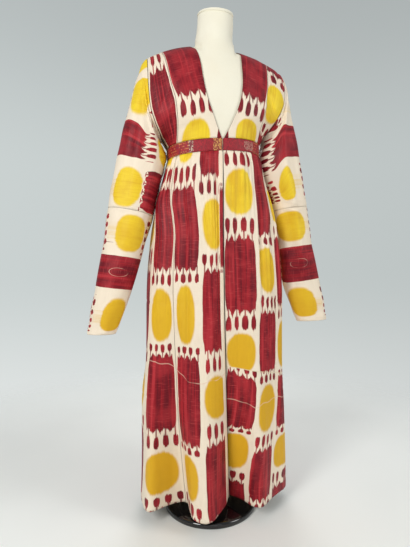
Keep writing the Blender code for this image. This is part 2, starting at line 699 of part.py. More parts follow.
def body_axis(face):
    """The point of the body's axis level with a face."""
    centre = face.calc_center_median()
    centre.x, centre.y = 0, SIDE_Y
    centre.z = min(centre.z, 1.25)
    return centre


def sleeve_axis(side):
    """The point of a sleeve's axis level with a face."""

    def middle(face):
        centre = face.calc_center_median()
        rows = SLEEVE_LEFT if side > 0 else SLEEVE_RIGHT
        z = 0.5 * (rows["outer_z"] + rows["inner_z"])
        x = 0.5 * (rows["outer_x"] + rows["inner_x"])
        centre.x = side * float(np.interp(centre.z, z[::-1], x[::-1]))
        centre.y = SIDE_Y
        return centre

    return middle


def build_skirt():
    for piece, first, last in zip(SKIRT_PANELS["piece"], SKIRT_PANELS["first"], SKIRT_PANELS["last"]):
        first, last = float(first), float(last)
        segments = round((last - first) * SEGMENTS_PER_COLUMN)
        place = skirt_panel(first, last)
        sheet(str(piece), place, segments, len(SKIRT_HEIGHTS) - 1, "crimson_ikat", body_axis)


def build_band():
    """The waistband in two halves, from the open front to the middle of the back."""
    proud = (BAND_WALL - WALL) / 2
    for name, first, last in (("waistband_left", 0.0, 0.5), ("waistband_right", 0.5, 1.0)):

        def place(across, along):
            height = BAND_BOTTOM_Z + SEAM_GAP + (BAND_TOP_Z - BAND_BOTTOM_Z - 2 * SEAM_GAP) * along
            rings = {
                "height": np.array([BAND_BOTTOM_Z, BAND_TOP_Z]),
                "right": np.array([0.1385, 0.1400]) + proud,
                "left": np.array([0.1405, 0.1415]) + proud,
                "front": np.array([-0.1405, -0.1410]) - proud,
                "back": np.array([0.0700, 0.0690]) + proud,
            }
            gaps = (FRONT_EDGE_GAP if first == 0 else SEAM_GAP, FRONT_EDGE_GAP if last == 1 else SEAM_GAP)
            round_the_band = 2 * np.pi * 0.125
            low = first + gaps[0] / 2 / round_the_band
            high = last - gaps[1] / 2 / round_the_band
            return tilt(ring_point(low + (high - low) * across, height, rings))

        sheet(name, place, 32, 1, "woven_band", body_axis, wall=BAND_WALL)


def build_bodice():
    for side, word in ((-1, "right"), (1, "left")):
        body = bodice_piece(
            side,
            lambda row, back, side=side: neck_half_width(row, side, back) - SEAM_GAP / 2,
            lambda row, back, side=side: seam_half_width(row, side),
        )
        sheet("body_panel_" + word, body, 9, 2 * len(BODICE_VS) - 2, "crimson_ikat", body_axis)
        edge = "edge_left" if side > 0 else "edge_right"
        outer = bodice_piece(
            side,
            lambda row, back, side=side: seam_half_width(row, side),
            lambda row, back, edge=edge: bodice_row(edge, row),
        )
        sheet("side_panel_" + word, outer, 5, 2 * len(BODICE_VS) - 2, "cream_ikat", body_axis)


def build_sleeves():
    for side, word in ((-1, "right"), (1, "left")):
        seam = SLEEVE_SEAM_RING[side]
        half_gap = 0.5 * SEAM_GAP / 0.09
        last = float(len(SLEEVE_RIGHT["depth"]))
        upper = sleeve_piece(side, 0.0, seam - half_gap)
        lower = sleeve_piece(side, seam + half_gap, last)
        middle = sleeve_axis(side)
        sheet("sleeve_upper_" + word, upper, ROUND_SLEEVE, RINGS_UPPER, "yellow_ikat", middle, closed=True)
        sheet("sleeve_lower_" + word, lower, ROUND_SLEEVE, RINGS_LOWER, "yellow_ikat", middle, closed=True)


def build_form():
    """The torso and neck in one skin: a sphere's rows of points moved to the form's rings."""
    skin = bmesh.new()
    bmesh.ops.create_uvsphere(skin, u_segments=FORM_SEGMENTS, v_segments=len(FORM_RINGS["front"]) - 1, radius=1)
    ball = np.array([vert.co for vert in skin.verts])
    rows = np.arccos(np.clip(ball[:, 2], -1, 1)) / np.pi
    turns = np.arctan2(ball[:, 0], -ball[:, 1]) / (2 * np.pi) % 1.0
    for vert, point in zip(skin.verts, under_cloth(form_point(turns, rows))):
        vert.co = point
    bmesh.ops.recalc_face_normals(skin, faces=skin.faces)
    mesh = bpy.data.meshes.new("form_torso")
    skin.to_mesh(mesh)
    skin.free()
    add_object("form_torso", mesh, "form_cloth")


def build_pole():
    """The pole between the base and the torso, clear of both by a seam's gap."""
    foot = BASE_PROFILE[0][1] + SEAM_GAP
    top = TORSO_BOTTOM_Z - SEAM_GAP
    bpy.ops.mesh.primitive_cylinder_add(
        vertices=24, radius=POLE_RADIUS, depth=top - foot, location=(0, 0, (foot + top) / 2)
    )
    pole = bpy.context.object
    for collection in list(pole.users_collection):
        collection.objects.unlink(pole)
    pole.name = "form_pole"
    pole.data.name = "form_pole"
    pole.data.materials.append(finish("black_gloss"))
    bpy.data.collections[COLLECTION].objects.link(pole)
    pole.data.shade_smooth()
    pole.data.set_sharp_from_angle(angle=math.radians(40))


def build_base():
    """The round base, a profile turned about the pole's axis."""
    outline = bmesh.new()
    corners = [outline.verts.new((radius, 0, height)) for radius, height in BASE_PROFILE]
    for start, end in zip(corners, corners[1:]):
        outline.edges.new((start, end))
    mesh = bpy.data.meshes.new("form_base")
    outline.to_mesh(mesh)
    outline.free()
    base = add_object("form_base", mesh, "black_gloss")
    turned = base.modifiers.new("turned", "SCREW")
    turned.axis = "Z"
    turned.steps = BASE_SEGMENTS
    turned.render_steps = BASE_SEGMENTS
    turned.use_merge_vertices = True
    turned.merge_threshold = 0.00005
    turned.use_smooth_shade = False


def main():
    for old in list(bpy.data.objects):
        bpy.data.objects.remove(old, do_unlink=True)
    collection = bpy.data.collections.new(COLLECTION)
    bpy.context.scene.collection.children.link(collection)
    build_skirt()
    build_band()
    build_bodice()
    build_sleeves()
    build_form()
    build_pole()
    build_base()


main()
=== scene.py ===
"""An ikat robe on a dress form, dressed in its cloth, braid and finishes.

The place functions repeat those of the solids, in metres, so that each piece lies on its solid.
"""

import math

import bmesh
import bpy
import numpy as np
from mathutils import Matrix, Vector
from mathutils.kdtree import KDTree


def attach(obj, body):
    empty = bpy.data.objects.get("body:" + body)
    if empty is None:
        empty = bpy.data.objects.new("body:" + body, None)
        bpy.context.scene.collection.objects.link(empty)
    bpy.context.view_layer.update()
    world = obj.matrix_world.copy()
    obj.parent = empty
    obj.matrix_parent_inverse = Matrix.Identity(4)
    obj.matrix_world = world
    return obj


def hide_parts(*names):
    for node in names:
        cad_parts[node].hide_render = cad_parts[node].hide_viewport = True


bl_info = {
    "name": "Ikat Robe on a Dress Form",
    "version": (1, 0, 0),
    "blender": (4, 5, 0),
    "location": "View3D > Sidebar > Ikat Robe",
    "description": "Builds a long ikat robe with a gathered skirt on a limbless dress form",
    "category": "Add Mesh",
}

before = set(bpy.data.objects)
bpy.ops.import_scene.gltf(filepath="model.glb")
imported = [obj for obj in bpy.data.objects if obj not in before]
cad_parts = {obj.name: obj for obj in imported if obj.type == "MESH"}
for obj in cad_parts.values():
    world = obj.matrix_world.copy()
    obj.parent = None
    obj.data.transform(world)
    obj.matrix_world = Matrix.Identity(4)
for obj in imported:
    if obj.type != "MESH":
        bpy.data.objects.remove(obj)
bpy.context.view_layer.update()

# Cloth
WALL = 0.0015
BAND_WALL = 0.003
SEAM_GAP = 0.0003

# Levels
HEM_Z = 0.045
BAND_BOTTOM_Z = 1.0545
BAND_TOP_Z = 1.0895
SIDE_Y = -0.035

# Dress form and stand
BASE_RADIUS = 0.14
POLE_RADIUS = 0.0125
TORSO_BOTTOM_Z = 0.80
CLOTH_TO_FORM = 0.0023


def table(columns, *rows):
    """The rows as one array for each named column."""
    return {name: np.array([row[i] for row in rows]) for i, name in enumerate(columns.split())}


def through(knots, values, at, start=None, smooth=True):
    """A cubic curve through the values at the knots. It keeps level where a column turns, unless smooth is False."""
    knots = np.asarray(knots, float)
    values = np.asarray(values, float)
    steps = np.diff(knots).reshape((-1,) + (1,) * (values.ndim - 1))
    slopes = np.diff(values, axis=0) / steps
    tangents = np.concatenate([slopes[:1], 0.5 * (slopes[1:] + slopes[:-1]), slopes[-1:]])
    if smooth:
        turns = slopes[1:] * slopes[:-1] <= 0
        limit = 3 * np.minimum(abs(slopes[1:]), abs(slopes[:-1]))
        inner = np.clip(tangents[1:-1], -limit, limit)
        tangents[1:-1] = np.where(turns, 0.0, inner)
    if start is not None:
        tangents[0] = start
    at = np.clip(np.asarray(at, float), knots[0], knots[-1])
    cell = np.clip(np.searchsorted(knots, at, side="right") - 1, 0, len(knots) - 2)
    step = steps[cell]
    t = (at - knots[cell]).reshape(at.shape + (1,) * (values.ndim - 1)) / step
    return (
        (2 * t**3 - 3 * t**2 + 1) * values[cell]
        + (t**3 - 2 * t**2 + t) * step * tangents[cell]
        + (3 * t**2 - 2 * t**3) * values[cell + 1]
        + (t**3 - t**2) * step * tangents[cell + 1]
    )


def ease(low, high, x):
    """0 below low, 1 above high, and a soft step between."""
    t = np.clip((np.asarray(x, float) - low) / (high - low), 0, 1)
    return t * t * (3 - 2 * t)


def hump(x, middle, width):
    return np.exp(-(((x - middle) / width) ** 2))


# The robe hangs a little higher on the wearer's left: the slope of each level, up the body.
TILT = table(
    "height slope",
    (0.00, 0.000),
    (0.82, 0.000),
    (1.00, 0.080),
    (1.10, 0.080),
    (1.20, 0.030),
    (1.40, 0.006),
)
TILT_REACH = 0.16


def tilt(points):
    """The points with each level turned by its slope."""
    points = np.array(points, float)
    slope = np.interp(points[:, 2], TILT["height"], TILT["slope"])
    points[:, 2] += slope * np.clip(points[:, 0], -TILT_REACH, TILT_REACH)
    return points


# ---------------------------------------------------------------- skirt

# Smooth rings of the skirt before its folds: half widths to the wearer's right and left of
# the middle, and the front and back of the ring.
SKIRT_RINGS = table(
    "height right left front back",
    (0.045, 0.215, 0.241, -0.160, 0.150),
    (0.300, 0.213, 0.233, -0.157, 0.142),
    (0.450, 0.207, 0.225, -0.154, 0.138),
    (0.645, 0.203, 0.226, -0.151, 0.134),
    (0.735, 0.198, 0.219, -0.150, 0.130),
    (0.800, 0.192, 0.212, -0.149, 0.126),
    (0.870, 0.185, 0.199, -0.147, 0.119),
    (0.920, 0.178, 0.181, -0.146, 0.110),
    (0.970, 0.162, 0.162, -0.145, 0.096),
    (1.020, 0.147, 0.150, -0.143, 0.080),
    (1.0545, 0.1385, 0.1405, -0.1405, 0.0700),
)

# Places round the hem, counted in cloth columns from the left front edge round the back to
# the right front edge. Each column hangs straight down, so its place round the smooth rings,
# in full turns from the front, moves from one value at the band to another below the hips.
HEM_FOLDS = table(
    "column band_turn hip_turn x y",
    (0.00, 0.000, 0.000, 0.043, -0.050),
    (0.45, 0.046, 0.034, 0.075, -0.099),
    (0.75, 0.077, 0.057, 0.090, -0.131),
    (1.05, 0.107, 0.079, 0.111, -0.143),
    (1.50, 0.150, 0.106, 0.147, -0.117),
    (2.00, 0.190, 0.135, 0.186, -0.090),
    (2.50, 0.225, 0.165, 0.232, -0.052),
    (3.00, 0.260, 0.200, 0.246, 0.004),
    (3.50, 0.301, 0.245, 0.232, 0.062),
    (4.00, 0.342, 0.292, 0.190, 0.083),
    (4.50, 0.384, 0.340, 0.178, 0.125),
    (5.00, 0.425, 0.388, 0.128, 0.158),
    (5.50, 0.446, 0.432, 0.084, 0.130),
    (6.00, 0.473, 0.470, 0.046, 0.126),
    (6.50, 0.500, 0.507, 0.012, 0.170),
    (7.00, 0.536, 0.548, -0.038, 0.152),
    (7.50, 0.575, 0.595, -0.074, 0.112),
    (8.00, 0.618, 0.650, -0.128, 0.132),
    (8.40, 0.665, 0.702, -0.172, 0.112),
    (8.68, 0.698, 0.744, -0.206, 0.050),
    (9.00, 0.734, 0.793, -0.214, -0.026),
    (9.32, 0.765, 0.824, -0.201, -0.084),
    (9.66, 0.792, 0.847, -0.154, -0.070),
    (9.93, 0.813, 0.865, -0.112, -0.062),
    (10.10, 0.826, 0.875, -0.091, -0.067),
    (10.42, 0.855, 0.895, -0.087, -0.108),
    (10.74, 0.887, 0.918, -0.085, -0.150),
    (11.05, 0.917, 0.943, -0.062, -0.176),
    (11.35, 0.942, 0.962, -0.036, -0.172),
    (11.75, 0.970, 0.981, -0.005, -0.140),
    (12.10, 0.988, 0.991, 0.024, -0.099),
    (12.35, 1.000, 1.000, 0.043, -0.064),
)
BAND_TO_HIP = (0.80, 1.0545)
COLUMNS_ROUND = HEM_FOLDS["column"][-1]
FOLDS_BEGIN_Z = 0.86
FOLD_GROWTH = 1.65

# Softer folds higher up: the column each runs down, its two ends, how far it stands out
# (minus for a trough) and its half width in columns.
SKIRT_CREASES = table(
    "column top bottom stand_out width",
    (0.48, 0.98, 0.36, -0.0060, 0.16),
    (1.30, 1.04, 0.70, -0.0070, 0.11),
    (1.62, 1.05, 0.62, 0.0050, 0.13),
    (1.95, 1.04, 0.74, -0.0065, 0.12),
    (3.20, 1.03, 0.30, -0.0080, 0.22),
    (4.35, 1.04, 0.40, 0.0070, 0.22),
    (5.40, 1.04, 0.36, -0.0090, 0.24),
    (6.60, 1.04, 0.34, 0.0080, 0.24),
    (7.55, 1.04, 0.32, -0.0090, 0.24),
    (8.75, 1.03, 0.36, -0.0070, 0.20),
    (9.45, 1.02, 0.55, 0.0045, 0.16),
    (9.95, 1.02, 0.50, -0.0050, 0.12),
    (10.62, 1.03, 0.42, -0.0080, 0.13),
    (11.30, 0.99, 0.55, -0.0045, 0.15),
    (12.02, 1.02, 0.52, -0.0050, 0.12),
)
CREASE_FADE = 0.10

# Gathers below the band
GATHERS_PER_COLUMN = 2.5
GATHER_TROUGH_COLUMN = 10.1
GATHER_HEIGHT = 0.0026
GATHER_LENGTH = 0.10
GATHER_START = 0.006


def ring_point(turn, height, rings):
    """A point of a smooth ring, with the front at turn 0 and the wearer's left at turn 0.25."""
    right = through(rings["height"], rings["right"], height)
    left = through(rings["height"], rings["left"], height)
    front = through(rings["height"], rings["front"], height)
    back = through(rings["height"], rings["back"], height)
    angle = 2 * np.pi * turn
    side = np.where(np.sin(angle) > 0, left, right)
    reach = np.where(np.cos(angle) > 0, SIDE_Y - front, back - SIDE_Y)
    x = side * np.sin(angle)
    y = SIDE_Y - reach * np.sign(np.cos(angle)) * abs(np.cos(angle)) ** 0.92
    return np.stack([x, y, height + 0 * x], axis=-1)


def gather_wave(column):
    """Uneven gathers: some stand higher than others."""
    phase = 2 * np.pi * GATHERS_PER_COLUMN * (column - GATHER_TROUGH_COLUMN)
    return -np.cos(phase) * (0.75 + 0.25 * np.sin(1.7 * column + 0.6)) + 0.2 * np.sin(0.5 * phase + 1.1)


def skirt_point(column, height):
    """A point of the skirt's outer face."""
    column = np.asarray(column, float)
    height = np.asarray(height, float) + 0 * column
    band_turn = through(HEM_FOLDS["column"], HEM_FOLDS["band_turn"], column)
    hip_turn = through(HEM_FOLDS["column"], HEM_FOLDS["hip_turn"], column)
    turn = hip_turn + (band_turn - hip_turn) * ease(*BAND_TO_HIP, height)
    point = ring_point(turn, height, SKIRT_RINGS)
    smooth_hem = ring_point(hip_turn, 0 * height + HEM_Z, SKIRT_RINGS)
    fold_xy = np.stack([HEM_FOLDS["x"], HEM_FOLDS["y"]], axis=1)
    folded_hem = through(HEM_FOLDS["column"], fold_xy, column, smooth=False)
    growth = np.clip((FOLDS_BEGIN_Z - height) / (FOLDS_BEGIN_Z - HEM_Z), 0, 1) ** FOLD_GROWTH
    point[..., :2] += growth[..., None] * (folded_hem - smooth_hem[..., :2])
    below = BAND_BOTTOM_Z - height
    stand = (
        GATHER_HEIGHT * gather_wave(column) * ease(0, GATHER_START, below) * (1 - ease(0.01, GATHER_LENGTH, below))
    )
    for i, middle in enumerate(SKIRT_CREASES["column"]):
        top, bottom = SKIRT_CREASES["top"][i], SKIRT_CREASES["bottom"][i]
        along = ease(bottom, bottom + CREASE_FADE, height) * (1 - ease(top - CREASE_FADE, top, height))
        stand = stand + SKIRT_CREASES["stand_out"][i] * along * hump(column, middle, SKIRT_CREASES["width"][i])
    for seam in SKIRT_PANELS["last"][:-1].astype(float):
        stand = stand - SEAM_DIP * hump(column, seam, SEAM_DIP_WIDTH)
    outward = np.stack([point[..., 0], point[..., 1] - SIDE_Y], axis=-1)
    outward /= np.linalg.norm(outward, axis=-1, keepdims=True)
    point[..., :2] += stand[..., None] * outward
    return point


# The seams lie in troughs of the gathers.
SKIRT_PANELS = table(
    "piece first last",
    ("skirt_front_left", 0.0, 2.9),
    ("skirt_side_left", 2.9, 5.3),
    ("skirt_back", 5.3, 7.7),
    ("skirt_side_right", 7.7, 10.1),
    ("skirt_front_right", 10.1, COLUMNS_ROUND),
)
FRONT_EDGE_GAP = 0.003
# Each seam pulls the cloth in a little.
SEAM_DIP = 0.0016
SEAM_DIP_WIDTH = 0.10


# ---------------------------------------------------------------- bodice

# Rows of the bodice from the band (0) to the ridge of the shoulder (1). The front and back
# middles, and the outer edge, which is the side seam up to the armpit and then the armhole.
# facing is how far round the outer edge has turned from the front, in degrees.
BODICE_ROWS = table(
    "row front_y front_z back_y back_z edge_right edge_left edge_y edge_z facing",
    (0.00, -0.1410, 1.0895, 0.0690, 1.0895, 0.1400, 0.1415, -0.0352, 1.0895, 90),
    (0.12, -0.1450, 1.1250, 0.0750, 1.1250, 0.1545, 0.1545, -0.0352, 1.1140, 90),
    (0.18, -0.1470, 1.1440, 0.0780, 1.1440, 0.1640, 0.1580, -0.0600, 1.1230, 80),
    (0.27, -0.1485, 1.1720, 0.0815, 1.1720, 0.1790, 0.1690, -0.0830, 1.1420, 68),
    (0.40, -0.1470, 1.2150, 0.0840, 1.2150, 0.1930, 0.1860, -0.0950, 1.1720, 60),
    (0.55, -0.1400, 1.2650, 0.0810, 1.2650, 0.1990, 0.2040, -0.0940, 1.2120, 54),
    (0.70, -0.1260, 1.3150, 0.0680, 1.3150, 0.2010, 0.2140, -0.0840, 1.2580, 50),
    (0.85, -0.0970, 1.3570, 0.0380, 1.3590, 0.2005, 0.2180, -0.0660, 1.3040, 50),
    (0.95, -0.0600, 1.3820, -0.0020, 1.3850, 0.1995, 0.2150, -0.0470, 1.3330, 50),
    (1.00, -0.0350, 1.3980, -0.0350, 1.3980, 0.1990, 0.2120, -0.0350, 1.3410, 50),
)
ARMPIT_ROW = 0.12
SHOULDER_DROP = 2.2
BUST = {"x": 0.078, "z": 1.165, "width": 0.050, "height": 0.050, "stand_out": 0.009}

# Half widths of the open neck and of the seam between the body and side panels, by row.
NECK_EDGE = table(
    "row right left",
    (0.00, 0.0030, 0.0040),
    (0.13, 0.0195, 0.0240),
    (0.33, 0.0440, 0.0480),
    (0.50, 0.0545, 0.0590),
    (0.70, 0.0610, 0.0620),
    (1.00, 0.0710, 0.0745),
)
BACK_NECK_ROW = 0.87
PANEL_SEAM = table(
    "row right left",
    (0.00, 0.1200, 0.1200),
    (0.15, 0.1215, 0.1240),
    (0.30, 0.1270, 0.1310),
    (0.45, 0.1350, 0.1380),
    (0.60, 0.1450, 0.1440),
    (0.80, 0.1530, 0.1520),
    (1.00, 0.1570, 0.1700),
)

# Folds that drag across the side panels towards the armpit: their ends as (half width, height).
DRAG_FOLDS = table(
    "x1 z1 x2 z2 stand_out width",
    (0.128, 1.205, 0.158, 1.140, 0.0045, 0.007),
    (0.142, 1.235, 0.172, 1.165, -0.0040, 0.008),
    (0.126, 1.165, 0.150, 1.118, -0.0040, 0.006),
)


def near_segment(x, z, i):
    """1 on drag fold i, falling to 0 away from it and at its ends."""
    fold = {name: values[i] for name, values in DRAG_FOLDS.items()}
    run = np.array([fold["x2"] - fold["x1"], fold["z2"] - fold["z1"]])
    length = np.linalg.norm(run)
    along = ((x - fold["x1"]) * run[0] + (z - fold["z1"]) * run[1]) / length**2
    off = ((x - fold["x1"]) * run[1] - (z - fold["z1"]) * run[0]) / length
    return hump(off, 0, fold["width"]) * ease(-0.2, 0.3, along) * (1 - ease(0.7, 1.2, along))


def bodice_row(name, row):
    return through(BODICE_ROWS["row"], BODICE_ROWS[name], row)


def bodice_edge(row, side, back):
    """The outer edge of the bodice: side is -1 on the wearer's right and 1 on the left."""
    x = side * bodice_row("edge_left" if side > 0 else "edge_right", row)
    y = bodice_row("edge_y", row)
    if back:
        y = 2 * SIDE_Y - y
    return np.stack([x, y, bodice_row("edge_z", row)], axis=-1)


def bodice_point(half_width, row, side, back):
    """A point of the bodice's outer face at a distance from the middle, on one row."""
    edge = bodice_edge(row, side, back)
    reach = abs(edge[..., 0])
    facing = np.radians(bodice_row("facing", row))
    angle = np.arcsin(np.clip(half_width / reach, 0, 1) * np.sin(facing))
    middle_y = bodice_row("back_y" if back else "front_y", row)
    middle_z = bodice_row("back_z" if back else "front_z", row)
    bulge = (np.cos(angle) - np.cos(facing)) / (1 - np.cos(facing))
    y = edge[..., 1] + (middle_y - edge[..., 1]) * np.clip(bulge, 0, 1) ** 0.92
    z = middle_z + (edge[..., 2] - middle_z) * (half_width / reach) ** SHOULDER_DROP
    if not back:
        y = y - BUST["stand_out"] * hump(half_width, BUST["x"], BUST["width"]) * hump(z, BUST["z"], BUST["height"])
    for i in range(len(DRAG_FOLDS["x1"])):
        y = y + (1 if back else -1) * DRAG_FOLDS["stand_out"][i] * near_segment(half_width, z, i)
    return np.stack([side * half_width, y, z], axis=-1)


def neck_half_width(row, side, back):
    """Half the open neck on one row: the V in front, and a shallow curve behind the neck."""
    name = "left" if side > 0 else "right"
    if not back:
        return through(NECK_EDGE["row"], NECK_EDGE[name], row)
    curve = np.sqrt(np.clip((row - BACK_NECK_ROW) / (1 - BACK_NECK_ROW), 0, 1))
    return SEAM_GAP / 2 + (NECK_EDGE[name][-1] - SEAM_GAP / 2) * curve


def seam_half_width(row, side):
    return through(PANEL_SEAM["row"], PANEL_SEAM["left" if side > 0 else "right"], row)


# ---------------------------------------------------------------- sleeves

# Rings of each sleeve below the armhole: its outer and inner points seen from the front, half
# its depth from front to back, and how far its corners next to the body stand out.
SLEEVE_RIGHT = table(
    "outer_x outer_z inner_x inner_z depth front_corner back_corner",
    (0.2190, 1.310, 0.1600, 1.098, 0.0640, 0.000, 0.000),
    (0.2385, 1.250, 0.1570, 1.076, 0.0660, 0.002, 0.003),
    (0.2595, 1.160, 0.1510, 1.050, 0.0650, 0.005, 0.006),
    (0.2780, 1.075, 0.1580, 1.010, 0.0620, 0.007, 0.007),
    (0.2980, 0.970, 0.1730, 0.952, 0.0570, 0.007, 0.006),
    (0.3125, 0.880, 0.1925, 0.858, 0.0515, 0.005, 0.004),
    (0.3270, 0.778, 0.2140, 0.762, 0.0460, 0.003, 0.002),
    (0.3445, 0.675, 0.2430, 0.662, 0.0400, 0.002, 0.001),
    (0.3590, 0.590, 0.2720, 0.582, 0.0340, 0.000, 0.000),
    (0.3670, 0.541, 0.2885, 0.540, 0.0290, 0.000, 0.000),
)
SLEEVE_LEFT = table(
    "outer_x outer_z inner_x inner_z depth front_corner back_corner",
    (0.2300, 1.312, 0.1550, 1.100, 0.0640, 0.000, 0.004),
    (0.2425, 1.250, 0.1500, 1.076, 0.0670, 0.002, 0.016),
    (0.2600, 1.165, 0.1480, 1.046, 0.0660, 0.006, 0.026),
    (0.2795, 1.070, 0.1570, 1.005, 0.0630, 0.008, 0.024),
    (0.2995, 0.962, 0.1880, 0.942, 0.0580, 0.008, 0.012),
    (0.3150, 0.877, 0.2085, 0.862, 0.0520, 0.005, 0.005),
    (0.3295, 0.790, 0.2235, 0.775, 0.0465, 0.003, 0.002),
    (0.3530, 0.690, 0.2350, 0.674, 0.0410, 0.002, 0.001),
    (0.3710, 0.610, 0.2620, 0.602, 0.0340, 0.000, 0.000),
    (0.3815, 0.564, 0.2800, 0.560, 0.0290, 0.000, 0.000),
)
# How far the first rings keep the armhole's own shape.
ARMHOLE_SHAPE = (0.90, 0.55, 0.20)
CORNER_TURN = 0.17
CORNER_WIDTH = 0.07
SLEEVE_SEAM_RING = {-1: 5.80, 1: 5.45}
def armhole(turn, side):
    """Points round the armhole: turn 0 at the armpit, 0.25 in front, 0.5 on the shoulder."""
    rows = np.linspace(ARMPIT_ROW, 1, 120)
    front = bodice_edge(rows, side, False)
    back = bodice_edge(rows[::-1], side, True)
    halves = []
    for half, first in ((front, 0.0), (back, 0.5)):
        steps = np.linalg.norm(np.diff(half, axis=0), axis=1)
        place = first + 0.5 * np.concatenate([[0], np.cumsum(steps)]) / steps.sum()
        halves.append((place, half))
    places = np.concatenate([halves[0][0], halves[1][0][1:]])
    points = tilt(np.concatenate([halves[0][1], halves[1][1][1:]]))
    return np.stack([np.interp(turn, places, points[:, i]) for i in range(3)], axis=-1)


def sleeve_rings(turn, side):
    """The control rings of a sleeve: the armhole first, then the rows of its table."""
    rows = SLEEVE_LEFT if side > 0 else SLEEVE_RIGHT
    angle = 2 * np.pi * turn
    inward = np.cos(angle)
    forward = np.sin(angle)
    front_corner = hump(turn, CORNER_TURN, CORNER_WIDTH)
    back_corner = hump(turn, 1 - CORNER_TURN, CORNER_WIDTH)
    edge = armhole(turn, side)
    armpit, shoulder = armhole(np.array([0.0, 0.5]), side)
    rings = [edge]
    for i in range(len(rows["depth"])):
        outer = np.array([side * rows["outer_x"][i], SIDE_Y, rows["outer_z"][i]])
        inner = np.array([side * rows["inner_x"][i], SIDE_Y, rows["inner_z"][i]])
        corner = rows["front_corner"][i] * front_corner + rows["back_corner"][i] * back_corner
        stretch = 1 + corner / rows["depth"][i]
        ring = 0.5 * (outer + inner) + 0.5 * (inner - outer) * inward[:, None] * stretch[:, None]
        ring[:, 1] -= rows["depth"][i] * forward * stretch
        if i < len(ARMHOLE_SHAPE):
            ring += ARMHOLE_SHAPE[i] * (moved_to(edge, armpit, shoulder, inner, outer) - ring)
        rings.append(ring)
    return np.array(rings)


def moved_to(points, low, high, new_low, new_high):
    """The points turned and scaled, seen from the front, so that low and high land on new_low and new_high."""
    old = complex(high[0] - low[0], high[2] - low[2])
    new = complex(new_high[0] - new_low[0], new_high[2] - new_low[2])
    flat = (points[:, 0] - low[0] + 1j * (points[:, 2] - low[2])) * (new / old)
    return np.stack([new_low[0] + flat.real, points[:, 1], new_low[2] + flat.imag], axis=-1)


ARMHOLE_GAP = 0.0014


# ---------------------------------------------------------------- dress form

# Rings of the form, from the neck's flat top to the hips. A ring dips from side to front and back.
FORM_RINGS = table(
    "half_width front back front_z side_z back_z",
    (0.0000, -0.0450, -0.0450, 1.4922, 1.4922, 1.4922),
    (0.0320, -0.0770, -0.0130, 1.4922, 1.4922, 1.4922),
    (0.0490, -0.0940, 0.0040, 1.4922, 1.4922, 1.4922),
    (0.0525, -0.0975, 0.0075, 1.4900, 1.4900, 1.4900),
    (0.0530, -0.0980, 0.0080, 1.4830, 1.4830, 1.4830),
    (0.0538, -0.0988, 0.0088, 1.4500, 1.4500, 1.4500),
    (0.0550, -0.1000, 0.0100, 1.4150, 1.4220, 1.4200),
    (0.0580, -0.1020, 0.0130, 1.3880, 1.4030, 1.3920),
    (0.0680, -0.1070, 0.0190, 1.3660, 1.3910, 1.3700),
    (0.0820, -0.1130, 0.0260, 1.3460, 1.3840, 1.3620),
    (0.1050, -0.1210, 0.0380, 1.3220, 1.3740, 1.3440),
    (0.1400, -0.1300, 0.0540, 1.2950, 1.3600, 1.3250),
    (0.1660, -0.1370, 0.0660, 1.2620, 1.3420, 1.2950),
    (0.1780, -0.1420, 0.0740, 1.2300, 1.3150, 1.2600),
    (0.1780, -0.1445, 0.0790, 1.1950, 1.2600, 1.2200),
    (0.1620, -0.1440, 0.0780, 1.1600, 1.1900, 1.1700),
    (0.1460, -0.1415, 0.0720, 1.1250, 1.1300, 1.1260),
    (0.1370, -0.1375, 0.0655, 1.0895, 1.0895, 1.0895),
    (0.1340, -0.1355, 0.0645, 1.0500, 1.0500, 1.0500),
    (0.1380, -0.1330, 0.0700, 1.0000, 1.0000, 1.0000),
    (0.1500, -0.1330, 0.0840, 0.9200, 0.9200, 0.9200),
    (0.1580, -0.1330, 0.0950, 0.8500, 0.8500, 0.8500),
    (0.1540, -0.1290, 0.0920, 0.8080, 0.8080, 0.8080),
    (0.1380, -0.1130, 0.0780, 0.8000, 0.8000, 0.8000),
    (0.0000, 0.0000, 0.0000, 0.8000, 0.8000, 0.8000),
)
# The neck leans a little to the wearer's left, and its cap slopes down towards the front.
NECK_LEAN = 0.0045
CAP_SLOPE = {"x": 0.024, "y": 0.23}
NECK_Z = (1.40, 1.47)


def form_point(turn, row):
    """A point of the form's skin. row counts from the neck's top to the middle of its underside."""
    knots = np.linspace(0, 1, len(FORM_RINGS["front"]))
    ring = {name: through(knots, values, row) for name, values in FORM_RINGS.items()}
    angle = 2 * np.pi * turn
    side_y = np.clip(SIDE_Y, ring["front"], ring["back"])
    ring_middle = 0.5 * (ring["front"] + ring["back"])
    side_y = ring_middle + (side_y - ring_middle) * ease(0.2, 0.4, row)
    to_front = np.cos(angle) > 0
    reach = np.where(to_front, side_y - ring["front"], ring["back"] - side_y)
    x = ring["half_width"] * np.sin(angle)
    y = side_y - reach * np.sign(np.cos(angle)) * abs(np.cos(angle)) ** 0.92
    middle_z = np.where(to_front, ring["front_z"], ring["back_z"])
    z = ring["side_z"] + (middle_z - ring["side_z"]) * abs(np.cos(angle)) ** 1.6
    bust = BUST["stand_out"] * hump(abs(x), BUST["x"], BUST["width"]) * hump(z, BUST["z"], BUST["height"])
    y = y - bust * to_front * abs(np.cos(angle)) ** 0.5
    up = ease(*NECK_Z, z)
    x = x + NECK_LEAN * up
    z = z + (CAP_SLOPE["x"] * x + CAP_SLOPE["y"] * (y + 0.045)) * up
    return tilt(np.stack([x, y, z], axis=-1))


